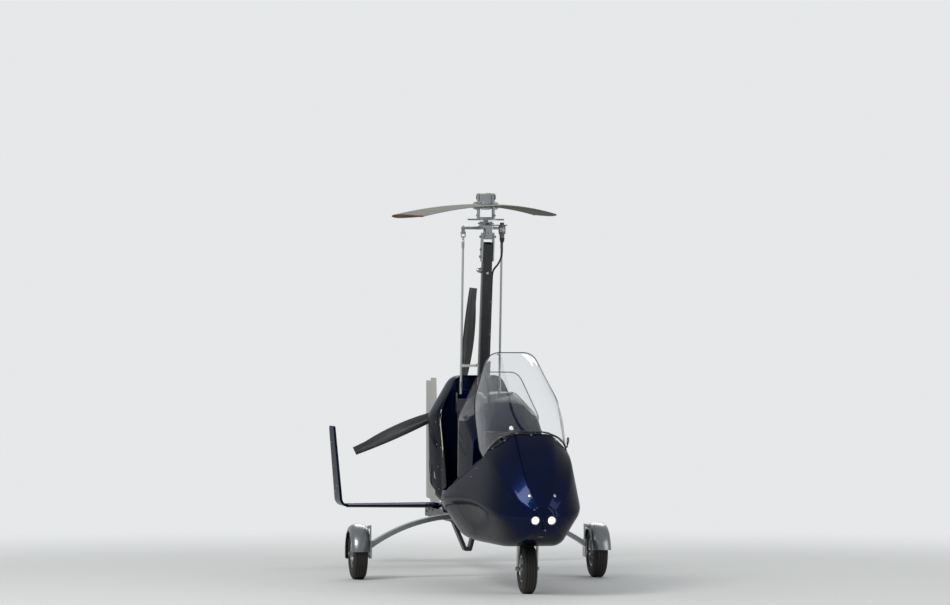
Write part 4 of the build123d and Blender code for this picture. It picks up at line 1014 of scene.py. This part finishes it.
    def lamps(self) -> None:
        """Adds bezels and ribbed lenses to the landing lamps, and the pressure probe under the nose."""
        bezel = turned([(0.0225, 0.006), (0.0265, 0.0075), (0.0295, 0.005), (0.03, -0.012), (0.0275, -0.012),
                        (0.0265, 0.0), (0.0225, 0.002)], 48, closed=True)
        lens = turned([(0.0228, 0.0), (0.0228, 0.004), (0.0205, 0.0075), (0.0205, 0.0085), (0.0165, 0.0095),
                       (0.0165, 0.0105), (0.011, 0.0108), (0.011, 0.0116), (0.005, 0.0115), (0.001, 0.0122)], 40)
        spots = flanks(0.054, (-2.203, 0.516), along=(0, -1, 0))
        settle(bezel, "lamp_bezels", CHROME, spots)
        settle(lens, "lamp_lenses", LENS, spots)
        probe = tube([(0, -2.10, 0.428), (0, -2.13, 0.44), (0, -2.17, 0.452), (0, -2.225, 0.452), (0, -2.265, 0.452)],
                     0.0045)
        foot = placed(turned([(0.02, 0), (0.02, 0.003), (0.013, 0.005), (0.009, 0.014), (0.006, 0.02)], 24),
                      aimed((0, -2.1, 0.412), (0, -0.55, 0.83)))
        settle(joined(probe, foot), "pressure_probe", STAINLESS)

    def build(self) -> None:
        """Builds all trims."""
        self.sills()
        self.screens()
        self.edges()
        self.fasteners()
        self.panels()
        self.lamps()


@dataclass
class Cockpit:
    """Dials, switches and hood of the instrument panel, and the fittings of sticks and pedals."""

    panel_face_y: float = -1.4615
    dials: tuple[Triple, ...] = (
        (-0.1, 0.985, 0.036), (0.0, 0.985, 0.036), (0.1, 0.985, 0.036), (-0.1, 0.897, 0.036), (0.0, 0.897, 0.03),
        (0.1, 0.897, 0.03))

    def instruments(self) -> None:
        """Adds round dials with bezels, hands and tick marks, a row of switches and the panel's hood."""
        bezels, faces, marks = [], [], []
        for x, z, radius in self.dials:
            spot = aimed((x, self.panel_face_y, z), (0, 1, 0))
            ring = turned([(radius, 0), (radius, 0.006), (radius - 0.003, 0.009), (radius - 0.006, 0.008),
                           (radius - 0.007, 0.002), (radius - 0.005, 0)], 48, closed=True)
            bezels.append(placed(ring, spot))
            faces.append(placed(turned([(radius - 0.005, 0.0), (radius - 0.0052, 0.0018), (0.006, 0.0018),
                                        (0.005, 0.0042), (0.001, 0.0046)], 40), spot))
            for k in range(10):
                angle = radians(-135 + 30 * k)
                long = 0.008 if k % 3 == 0 else 0.005
                tick = block((0.0016, long, 0.0012), 0.0002)
                reach = radius - 0.009 - long / 2
                place = Matrix.Rotation(-angle, 4, "Z") @ Matrix.Translation((0, reach, 0.0022))
                marks.append(placed(tick, spot @ place))
            hand = outline([(-0.0016, -0.006), (0.0016, -0.006), (0.0004, radius * 0.62), (-0.0004, radius * 0.62)],
                           0.001)
            marks.append(placed(hand, spot @ Matrix.Rotation(x * 9 + z, 4, "Z") @ Matrix.Translation((0, 0, 0.0026))))
        settle(joined(*bezels), "dial_bezels", ABS)
        settle(joined(*faces), "dial_faces", DIAL)
        settle(joined(*marks), "dial_marks", ENAMEL)
        spots = [aimed((-0.1 + 0.04 * k, self.panel_face_y, 0.835), (0, 1, 0.25)) for k in range(6)]
        toggle = turned([(0.0065, -0.002), (0.0065, 0.002), (0.0045, 0.004), (0.0022, 0.005), (0.0024, 0.012),
                         (0.0032, 0.016), (0.0024, 0.018)], 16)
        settle(toggle, "panel_switches", ZINC, spots)
        hood = outline([(-0.172, 0.0), (-0.172, 0.118), (-0.15, 0.132), (0.15, 0.132), (0.172, 0.118), (0.172, 0.0)],
                       0.005, 0.0018)
        settle(hood, "panel_hood", ABS, [Matrix.Translation((0, -1.575, 1.0405))])

    def controls(self) -> None:
        """Adds moulded grips and gaiters to the sticks, and treads to the pedals."""
        grips, boots = [], []
        for y, top in ((-1.385, 0.79), (-0.47, 0.78)):
            grip = turned([(0.0175, -0.112), (0.021, -0.11), (0.021, -0.104), (0.0178, -0.1), (0.0195, -0.085),
                           (0.0182, -0.072), (0.0198, -0.058), (0.0184, -0.044), (0.02, -0.03), (0.0192, -0.014),
                           (0.0225, -0.006), (0.024, 0.004), (0.021, 0.012), (0.012, 0.0165), (0.001, 0.0175)], 28)
            button = placed(turned([(0.006, 0.0), (0.006, 0.005), (0.0045, 0.0065), (0.001, 0.007)], 16),
                            aimed((0.006, y - 0.002, top + 0.014), (0, 0, 1)))
            grips += [placed(grip, Matrix.Translation((0, y, top))), button]
            boot = turned([(0.056, 0.0), (0.058, 0.004), (0.05, 0.012), (0.053, 0.02), (0.044, 0.027), (0.046, 0.036),
                           (0.036, 0.043), (0.037, 0.052), (0.027, 0.06), (0.0265, 0.07), (0.0125, 0.078)], 40)
            boots.append(placed(boot, Matrix.Translation((0, y, 0.4405))))
        settle(joined(*grips), "stick_grips", ABS)
        settle(joined(*boots), "stick_gaiters", HOSE)
        steps = [(-1.7585 - 0.0018 * k, 0.4785 + 0.0128 * k) for k in range(7)]
        ribs = flanks(0.095, *steps, along=(0, 0.985, 0.17))
        settle(block((0.074, 0.004, 0.004), 0.001), "pedal_treads", HOSE, ribs)

    def build(self) -> None:
        """Builds the cockpit's pieces."""
        self.instruments()
        self.controls()


@dataclass
class Seats:
    """Four upholstered pads, swollen by cloth simulation, with piping along their seams."""

    voxel: float = 0.006
    swell: float = 0.014
    pressure: float = 4.0
    steps: int = 15
    margin: float = 0.0012

    def pad(self, node: str, upright: bool) -> None:
        """Builds one pad in place of its node.

        Args:
            node: CAD node of the pad.
            upright: whether it is a backrest.
        """
        low, high = (Vector(corner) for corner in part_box(node))
        middle, size = (low + high) / 2, high - low
        clear()
        bpy.ops.mesh.primitive_cube_add(size=1)
        piece = bpy.context.object
        inner = size - Vector((0.024, 0.022, 0.024))
        piece.matrix_world = Matrix.Translation(middle) @ Matrix.Diagonal((*inner, 1))
        bpy.ops.object.transform_apply(location=False, rotation=False, scale=True)
        edit(piece, "EDGE")
        bpy.ops.mesh.bevel(offset=min(inner) * 0.36, segments=4, affect="EDGES")
        bpy.ops.mesh.select_all(action="SELECT")
        bpy.ops.mesh.subdivide(number_cuts=2)
        hold(piece)
        bpy.ops.object.transform_apply(location=True, rotation=True, scale=True)
        self.swollen(piece, low, high)
        settle(piece, f"{node}_pad", CLOTH, smooth=60, instead=(node,))
        if upright:
            line = [(x, low.y + 0.0125, z) for x, z in self.rounded((low.x, low.z), (high.x, high.z), 0.02, 0.04)]
        else:
            line = [(x, y, high.z - 0.0155) for x, y in self.rounded((low.x, low.y), (high.x, high.y), 0.016, 0.035)]
        settle(tube(line, 0.0042, closed=True), f"{node}_piping", CLOTH)

    @staticmethod
    def rounded(low: Point, high: Point, margin: float, radius: float) -> list[Pair]:
        """Outlines a box inside its margin, with two points by each corner so that a line rounds it.

        Args:
            low, high: corners of the box.
            margin: distance of the line from the box's sides.
            radius: distance of its points from each corner.

        Returns:
            The points in order, for a closed line.
        """
        left, foot, right, top = low[0] + margin, low[1] + margin, high[0] - margin, high[1] - margin
        corners = [(left, foot), (right, foot), (right, top), (left, top)]
        points: list[Pair] = []
        for before, here, after in zip(corners[-1:] + corners[:-1], corners, corners[1:] + corners[:1]):
            for other in (before, after):
                way = (Vector(other) - Vector(here)).normalized()
                points.append(tuple(Vector(here) + way * radius))
        return points

    def swollen(self, piece: Piece, low: Vector, high: Vector) -> None:
        """Inflates the pad by cloth simulation and caps how far each point goes.

        Args:
            piece: mesh of the pad.
            low, high: box of its CAD solid, which it stays in.
        """
        piece.data.remesh_voxel_size = self.voxel
        bpy.ops.object.voxel_remesh()
        before = [v.co.copy() for v in piece.data.vertices]
        cloth = piece.modifiers.new("cloth", "CLOTH")
        cloth.settings.use_pressure = True
        cloth.settings.uniform_pressure_force = self.pressure
        cloth.settings.effector_weights.gravity = 0.0
        cloth.settings.quality = 5
        scene = bpy.context.scene
        for step in range(1, self.steps + 1):
            scene.frame_set(step)
        bpy.ops.object.modifier_apply(modifier="cloth")
        scene.frame_set(1)
        for vertex, start in zip(piece.data.vertices, before):
            move = vertex.co - start
            if move.length > self.swell:
                vertex.co = start + move.normalized() * self.swell
            for axis in range(3):
                vertex.co[axis] = min(max(vertex.co[axis], low[axis] + self.margin), high[axis] - self.margin)

    def build(self) -> None:
        """Builds the four pads."""
        for node, upright in (("cushion_front", False), ("cushion_rear", False), ("backrest_front", True),
                              ("backrest_rear", True)):
            self.pad(node, upright)


@dataclass
class MastTrim:
    """Weld lines, drive hose and its clips, lamp and bolts on the mast and its arm."""

    lean: float = radians(12)
    foot: Pair = (0.345, 0.464)
    face: float = 0.0453
    hose: float = 0.0068

    def at(self, z: float, x: float = 0.0, out: float = 0.0) -> Triple:
        """Place beside the middle line of the mast.

        Args:
            z: height.
            x: distance to port.
            out: distance forward, square to the mast.
        """
        y = self.foot[0] - (z - self.foot[1]) * tan(self.lean)
        return (x, y - out * cos(self.lean), z - out * sin(self.lean))

    def build(self) -> None:
        """Builds the pieces of the mast."""
        line = [self.at(z, 0.0326) for z in (1.0, 1.35, 1.7, 2.0, 2.26)]
        settle(joined(*mirrored(line, 0.0032)), "mast_weld_lines", STAINLESS)
        hose = [self.at(z, x, out) for z, x, out in
                ((1.1, 0.041, 0.0), (1.35, 0.0415, -0.006), (1.6, 0.0415, 0.004), (1.9, 0.042, -0.004),
                 (2.1, 0.0415, 0.0), (2.16, 0.0418, 0.0))]
        low, middle, high = Vector(hose[-1]), Vector((0.088, -0.07, 2.27)), Vector((0.098, -0.103, 2.396))
        settle(tube(hose, self.hose), "drive_hose", HOSE)
        first = [low - Vector((0, 0, 0.01)), low + Vector((0.001, -0.006, 0.03)), low + Vector((0.016, -0.016, 0.06)),
                 middle - Vector((0.014, -0.006, 0.03)), middle]
        second = [middle, middle + Vector((0.012, -0.005, 0.03)), high - Vector((0, 0, 0.06)),
                  high - Vector((0, 0, 0.03)), high + Vector((0, 0, 0.012))]
        for points, name, bodies in ((first, "drive_shaft_low", ("airframe", "gimbal")),
                                     (second, "drive_shaft_high", ("gimbal", "head"))):
            piece = tube(points, self.hose)
            settle(piece, name, HOSE, body="")
            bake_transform(piece)
        ring = turned([(0.0074, -0.006), (0.0092, -0.006), (0.0096, 0.0), (0.0092, 0.006), (0.0074, 0.006)], 20,
                      closed=True)
        clips = [aimed(self.at(z, 0.0414), (0, -sin(self.lean), cos(self.lean))) for z in (1.25, 1.45, 1.75, 1.98)]
        settle(ring, "hose_clips", ZINC, clips)
        front = (0, -cos(self.lean), -sin(self.lean))
        settle(hexagon_bolt(0.009), "mast_bolt", ZINC, [aimed(self.at(2.19, out=self.face), front)])
        dark = [aimed(self.at(z, out=self.face), front) for z in (1.3, 1.6, 2.34)]
        settle(hexagon_bolt(0.008), "mast_screws", POWDER, dark)
        ring = turned([(0.016, 0), (0.017, 0.004), (0.014, 0.006), (0.0115, 0.005), (0.0115, 0)], 32, closed=True)
        settle(ring, "mast_grommet", HOSE, [aimed(self.at(1.88, -0.016, self.face + 0.0002), front)])
        strobe = turned([(0.02, 0), (0.02, 0.012), (0.017, 0.014), (0.0165, 0.026), (0.012, 0.034), (0.001, 0.038)],
                        32)
        settle(strobe, "mast_lamp", MACHINED, [aimed(self.at(2.2, -0.0335, -0.01), (-1, 0, 0.1))])
        nuts = []
        for side in (-1, 1):
            for y, z in ((0.0, 2.44), (0.03, 2.3), (0.012, 2.35)):
                reach = 0.0523 if z > 2.4 else 0.0443
                nuts.append(aimed((side * reach, self.at(z)[1] + y, z), (side, 0, 0)))
        settle(hexagon_bolt(0.009), "mast_head_bolts", ZINC, nuts)
        arm = [aimed((x, self.at(1.534)[1], 1.5345), (0, 0, 1)) for x in (-0.048, -0.15)]
        settle(hexagon_bolt(0.006), "arm_bolts", ZINC, arm)


@dataclass
class RotorHead:
    """Bolts, clamps, caps and the pre-rotator's fittings of the tilting head and the two-blade rotor."""

    hub_z: float = 2.662
    tilt: float = radians(2)
    turn: float = radians(-17)
    teeter: float = 0.062
    collar: float = -0.133
    bridge_z: float = 2.5183
    rod_foot: Triple = (0.14, 0.245, 1.322)
    rod_rise: Pair = (0.105, 1.152)
    starter: Pair = (0.098, -0.103)
    blade: Triple = (-0.044, 4.197, -0.0675)

    def plane(self) -> Matrix:
        """Matrix of the rotor's own frame: Z along its shaft, Y along the rear blade."""
        across = Vector((cos(self.turn), sin(self.turn) * cos(self.tilt), sin(self.turn) * sin(self.tilt)))
        shaft = Vector((0, -sin(self.tilt), cos(self.tilt)))
        along = shaft.cross(across)
        turn = Matrix((across, along, shaft)).transposed().to_4x4()
        return Matrix.Translation((0, 0, self.hub_z)) @ turn

    def build(self) -> None:
        """Builds the pieces of the head and the rotor."""
        own = self.plane()
        spots = [own @ spot for spot in flanks(0.0605, (-0.022, -0.068), (0.022, -0.068))]
        settle(hexagon_bolt(0.008), "tower_bolts", ZINC, spots, "rotor_shaft")
        nuts = [own @ spot for spot in flanks(0.0602, (0, self.teeter))]
        castle = joined(turned([(0.018, 0), (0.0185, 0.001), (0.0185, 0.008), (0.016, 0.0095), (0.0085, 0.0095)], 6),
                        turned([(0.0165, -0.0015), (0.0205, -0.001), (0.0205, 0.0012), (0.016, 0.0016)], 32))
        settle(castle, "teeter_nuts", ZINC, nuts, "rotor_shaft")
        bolts = [own @ aimed((x, side * y, up * 0.0222), (0, 0, up)) for side in (-1, 1)
                 for y in (0.19, 0.235, 0.28, 0.325, 0.37, 0.405) for x in (-0.024, 0.024) for up in (-1, 1)]
        settle(hexagon_bolt(0.007), "blade_bolts", ZINC, bolts, "rotor")
        cap = block((0.076, 0.08, 0.008), 0.003, 0.012)
        settle(cap, "teeter_block_cap", MACHINED, [own @ Matrix.Translation((0, 0, 0.087))], "rotor")
        x, y, z = self.blade
        tips = [own @ aimed((side * x, side * y, z), (0, side, 0)) for side in (-1, 1)]
        settle(block((0.19, 0.011, 0.006), 0.0024), "blade_tip_caps", LEAD, tips, "rotor")
        hub = turned([(0.05, 0), (0.056, 0.002), (0.058, 0.006), (0.056, 0.012), (0.048, 0.0135), (0.046, 0.0035)], 64,
                     closed=True)
        settle(hub, "bearing_collar", STAINLESS, [own @ Matrix.Translation((0, 0, self.collar))], "head")
        bridge = flanks(0.026, *[(y, self.bridge_z) for y in (-0.125, 0.118, 0.17)], along=(0, 0, 1))
        bridge += flanks(0.14, (0.14, self.bridge_z), along=(0, 0, 1))
        settle(hexagon_bolt(0.007), "bridge_bolts", ZINC, bridge, "head")
        motor = turned([(0.0245, 0), (0.026, 0.002), (0.026, 0.009), (0.0245, 0.011), (0.0245, 0.018), (0.026, 0.02),
                        (0.026, 0.03), (0.0242, 0.032)], 40)
        settle(motor, "prerotator_bands", ZINC, [aimed((*self.starter, 2.474), (0, 0, 1))], "head")
        boot = turned([(0.0158, 0), (0.019, -0.004), (0.0165, -0.01), (0.018, -0.016), (0.0145, -0.022),
                       (0.015, -0.028), (0.0098, -0.034)], 24)
        settle(boot, "prerotator_boot", HOSE, [aimed((*self.starter, 2.4325), (0, 0, 1))], "head")
        for side, name in SIDES:
            lean = atan2(*self.rod_rise)
            way = (0, -sin(lean), cos(lean))
            x, y, z = self.rod_foot
            low = Vector((side * x, y, z))
            sleeve = turned([(0.0083, 0), (0.0108, 0.003), (0.0108, 0.05), (0.0083, 0.055)], 6)
            collars = [aimed(low + Vector(way) * 0.045, way), aimed(low + Vector(way) * 1.045, way)]
            settle(sleeve, f"rod_sleeves_{name}", ZINC, collars, f"rod_{name}")


@dataclass
class Propeller:
    """Hub plates, bolts and blade cuffs of the propeller."""

    at: Triple = (0.0, 1.085, 1.24)
    turn: float = radians(6)

    def build(self) -> None:
        """Builds the pieces of the propeller."""
        x, y, z = self.at
        plate = turned([(0.0615, 0), (0.0625, 0.0015), (0.0625, 0.005), (0.058, 0.007), (0.026, 0.007),
                        (0.0245, 0.002)], 64, closed=True)
        settle(plate, "propeller_plates", MACHINED, [aimed((x, y + side * 0.0352, z), (0, side, 0))
                                                     for side in (-1, 1)], "propeller")
        bolts = [aimed((x + 0.047 * sin(a), y + side * 0.042, z + 0.047 * cos(a)), (0, side, 0)) for side in (-1, 1)
                 for a in (k * pi / 3 + self.turn for k in range(6))]
        settle(hexagon_bolt(0.0075), "propeller_bolts", ZINC, bolts, "propeller")
        cuff = turned([(0.0125, 0), (0.019, 0.002), (0.0205, 0.012), (0.019, 0.03), (0.0175, 0.036), (0.0125, 0.038)],
                      32)
        cuffs = []
        for k in range(3):
            a = self.turn + 2 * pi * k / 3
            out = Vector((sin(a), 0, cos(a)))
            cuffs.append(aimed(Vector(self.at) + out * 0.058, out))
        settle(cuff, "propeller_cuffs", MACHINED, cuffs, "propeller")


@dataclass
class Engine:
    """Covers, carburettors, tank, hoses, leads and clamps of the flat four-cylinder engine."""

    z: float = 1.15
    out: float = 0.232
    ports: Pair = (0.53, 0.71)
    carburettor: Triple = (0.135, 0.79, 1.22)

    def build(self) -> None:
        """Builds the pieces of the engine."""
        cylinder_z = self.z - 0.02
        covers, rims = [], []
        for head in flanks(self.out - 0.002, *[(y, cylinder_z) for y in self.ports]):
            spot = head @ Matrix.Rotation(pi / 2, 4, "Z")
            covers.append(spot @ Matrix.Translation((0, 0, 0.012)))
            rims += [spot @ aimed((dx, dy, 0.024), (0, 0, 1)) for dx in (-0.036, 0.036) for dy in (-0.036, 0.036)]
        cover = block((0.094, 0.094, 0.03), 0.012, 0.012)
        settle(cover, "rocker_covers", ABS, covers)
        settle(hexagon_bolt(0.005), "rocker_cover_bolts", ZINC, rims)
        leads, caps = [], []
        for y in self.ports:
            upper = [(0.19, y + 0.05, cylinder_z + 0.045), (0.21, y + 0.085, cylinder_z + 0.1),
                     (0.12, y + 0.07, 1.302), (0.05, 0.62, 1.318), (0.03, 0.6, 1.302)]
            lower = [(0.19, y + 0.05, cylinder_z - 0.045), (0.215, y + 0.075, cylinder_z - 0.03),
                     (0.2, y + 0.09, cylinder_z + 0.08), (0.1, y + 0.06, 1.304), (0.045, 0.64, 1.32),
                     (0.02, 0.62, 1.302)]
            for route, rise in ((upper, 0.5), (lower, -0.2)):
                caps += flanks(route[0][0], route[0][1:], along=(0.4, 0.6, rise))
                leads += mirrored(route, 0.0036)
        cap = turned([(0.009, -0.012), (0.0095, 0.0), (0.0075, 0.004), (0.0075, 0.022), (0.005, 0.026)], 16)
        settle(cap, "plug_caps", ABS, caps)
        settle(joined(*leads), "plug_leads", LEAD)
        bowl = turned([(0.02, -0.05), (0.024, -0.046), (0.026, -0.02), (0.03, -0.016), (0.03, -0.008), (0.026, -0.004),
                       (0.026, 0.018), (0.03, 0.022), (0.03, 0.03), (0.02, 0.036), (0.012, 0.038), (0.01, 0.05),
                       (0.004, 0.052)], 32)
        filters = turned([(0.03, 0), (0.036, 0.003), (0.037, 0.01), (0.034, 0.014), (0.037, 0.02), (0.034, 0.026),
                          (0.037, 0.032), (0.034, 0.038), (0.037, 0.044), (0.034, 0.05), (0.037, 0.056),
                          (0.036, 0.066), (0.026, 0.07), (0.001, 0.07)], 36)
        small = Matrix.Scale(0.75, 4)
        x, y, z = self.carburettor
        carbs = [Matrix.Translation((side * x, y, z)) @ small for side in (-1, 1)]
        settle(bowl, "carburettors", MACHINED, carbs)
        mouths = [mouth @ small for mouth in flanks(x, (y + 0.022, z), along=(0, 1, 0))]
        settle(filters, "air_filters", CLOTH, mouths)
        pipes = []
        for y in self.ports:
            pipes += mirrored([(0.135, 0.775, 1.22), (0.137, 0.75, 1.235), (0.15, y + 0.03, 1.25), (0.165, y, 1.245),
                               (0.165, y, cylinder_z + 0.05)], 0.013)
        settle(joined(*pipes), "intake_pipes", MACHINED)
        coil = block((0.1, 0.16, 0.024), 0.005, 0.01)
        settle(coil, "ignition_module", ABS, [Matrix.Translation((0, 0.62, 1.3115))])
        tank = turned([(0.04, 0), (0.052, 0.004), (0.055, 0.014), (0.055, 0.1), (0.057, 0.102), (0.057, 0.108),
                       (0.055, 0.11), (0.055, 0.16), (0.05, 0.172), (0.03, 0.182), (0.03, 0.19), (0.032, 0.192),
                       (0.032, 0.206), (0.001, 0.208)], 48)
        settle(tank, "oil_tank", MACHINED, [Matrix.Translation((-0.04, 0.392, 1.08))])
        hoses = [tube([(-0.04, 0.41, 1.1), (-0.1, 0.46, 1.06), (-0.12, 0.52, 1.03), (-0.1, 0.56, 1.02),
                       (-0.06, 0.58, 1.01)], 0.009),
                 tube([(0.06, 0.84, 1.09), (0.12, 0.87, 1.04), (0.14, 0.84, 0.96), (0.1, 0.78, 0.92),
                       (0.05, 0.7, 0.985)], 0.009),
                 tube([(0.135, 0.79, 1.25), (0.13, 0.79, 1.29), (0.09, 0.79, 1.314), (0.0, 0.79, 1.315),
                       (-0.09, 0.79, 1.314), (-0.13, 0.79, 1.29), (-0.135, 0.79, 1.25)], 0.0045)]
        settle(joined(*hoses), "engine_hoses", HOSE)
        bolts = flanks(0.08, *[(0.9352, z) for z in (1.09, 1.16, 1.24)], along=(0, 1, 0))
        settle(hexagon_bolt(0.007), "gearbox_bolts", ZINC, bolts)
        clamps = flanks(0.152, *[(y, 1.048) for y in self.ports], along=(0, 0, 1))
        band = turned([(0.0184, -0.008), (0.0215, -0.008), (0.0222, 0.0), (0.0215, 0.008), (0.0184, 0.008)], 28,
                      closed=True)
        settle(band, "exhaust_clamps", ZINC, clamps)
        seams = turned([(0.0575, -0.004), (0.0605, -0.004), (0.0612, 0.0), (0.0605, 0.004), (0.0575, 0.004)], 48,
                       closed=True)
        ends = [aimed((x, 0.872, 0.672), (1, 0, 0)) for x in (-0.127, -0.045, 0.045, 0.127)]
        settle(seams, "muffler_seams", EXHAUST, ends)
        pipe = turned([(0.0145, 0), (0.02, 0.0), (0.02, 0.09), (0.0205, 0.092), (0.0175, 0.092), (0.0165, 0.02)], 28)
        settle(pipe, "tail_pipe", EXHAUST, [aimed((-0.06, 0.918, 0.64), (0, 0.8, -0.6))])


@dataclass
class Tail:
    """Screws, bolts, lamp and control linkage of the tail."""

    keel_x: float = 0.0302
    keel_z: float = 0.397
    horn: Pair = (2.4, 0.594)

    def build(self) -> None:
        """Builds the pieces of the tail."""
        places = ((2.26, 0.52), (2.3, 0.72), (2.3, 0.95), (2.3, 1.18), (2.31, 1.37), (2.15, 0.54), (2.2, 0.8))
        spots = [spot for side in (-1, 1) for spot in studs("fin", side, places)]
        settle(screw_head(0.0055), "fin_screws", ZINC, spots)
        places = ((2.41, 0.6), (2.41, 0.9), (2.41, 1.2))
        spots = [spot for side in (-1, 1) for spot in studs("rudder", side, places)]
        settle(screw_head(0.0055), "rudder_screws", ZINC, spots, "rudder")
        spots = []
        for side, name in SIDES:
            for x in (0.08, 0.3, 0.5, 0.64):
                for y in (2.2, 2.42):
                    met, normal = skin("tailplane", (side * x, y + x * 0.06, 1.0), (0, 0, -1))
                    spots.append(aimed(met, normal))
            spots += studs(f"end_fin_{name}", side, ((2.45, 0.56), (2.5, 0.75), (2.53, 0.93), (2.36, 0.6)))
        settle(screw_head(0.005), "tailplane_screws", ZINC, spots)
        met, normal = skin("fin", (-0.5, 2.305, 1.03), (1, 0, 0))
        lamp = turned([(0.02, 0), (0.022, 0.002), (0.0215, 0.006), (0.018, 0.011), (0.013, 0.0145), (0.006, 0.0165),
                       (0.001, 0.017)], 32)
        settle(lamp, "tail_lamp_right", RED_LENS, [aimed(met, normal)])
        horn = outline([(0.0, -0.02), (0.06, -0.012), (0.072, 0.0), (0.06, 0.012), (0.0, 0.02)], 0.004, 0.0012)
        y, z = self.horn
        met, _ = skin("rudder", (0.5, y, z), (-1, 0, 0))
        settle(horn, "rudder_horn", MACHINED, [Matrix.Translation((met.x - 0.006, y, z))], "rudder")
        route = ((0.033, 1.0, 0.4), (0.034, 1.3, 0.398), (0.034, 1.7, 0.396), (0.033, 2.05, 0.4))
        settle(joined(*mirrored(route, 0.0022)), "rudder_cable_guides", STAINLESS)
        clips = flanks(self.keel_x, *[(y, self.keel_z + 0.002) for y in (1.05, 1.4, 1.75, 2.0)])
        settle(screw_head(0.006), "cable_clips", ZINC, clips)
        cap = block((0.058, 0.068, 0.01), 0.003, 0.008)
        settle(cap, "keel_end_cap", ABS, [aimed((0, 2.5625, self.keel_z), (0, 1, 0))])
        bolts = flanks(self.keel_x, (2.2, self.keel_z + 0.02), (2.35, self.keel_z + 0.02),
                       *[(y, self.keel_z) for y in (2.48, 0.5, 0.76, 0.42)])
        settle(hexagon_bolt(0.008), "keel_bolts", ZINC, bolts)


@dataclass
class Gear:
    """Clamp bolts of the bow, bolts of the axle plates and the boarding step's tread."""

    def build(self) -> None:
        """Builds the pieces of the landing gear."""
        y = MAIN_AXLE[1]
        bolts = flanks(0.08, (y - 0.03, 0.4645), (y + 0.03, 0.4645), along=(0, 0, 1))
        settle(hexagon_bolt(0.008), "bow_clamp_bolts", ZINC, bolts)
        plates = flanks(0.79, (y - 0.026, 0.258), (y + 0.026, 0.258), (y - 0.024, 0.2), (y + 0.024, 0.2))
        settle(hexagon_bolt(0.006), "axle_plate_bolts", ZINC, plates)
        ribs = [Matrix.Translation((-0.125, 0.02 + 0.016 * k, 0.2335)) for k in range(6)]
        settle(block((0.026, 0.006, 0.004), 0.001), "step_tread", TRIM, ribs)


def main() -> None:
    """Builds the studio and every sub-assembly in order."""
    logging.basicConfig(level=logging.INFO, format="%(message)s")
    Studio().build()
    for name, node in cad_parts.items():
        finish = NODE_FINISH.get(name, POWDER)
        node.data.materials.clear()
        node.data.materials.append(finish.material())
    for part in (Wheels(), Mudguards(), BodyTrim(), Cockpit(), Seats(), MastTrim(), RotorHead(), Propeller(),
                 Engine(), Tail(), Gear()):
        part.build()
        LOG.info("%s done", type(part).__name__)


if __name__ == "__main__":
    main()
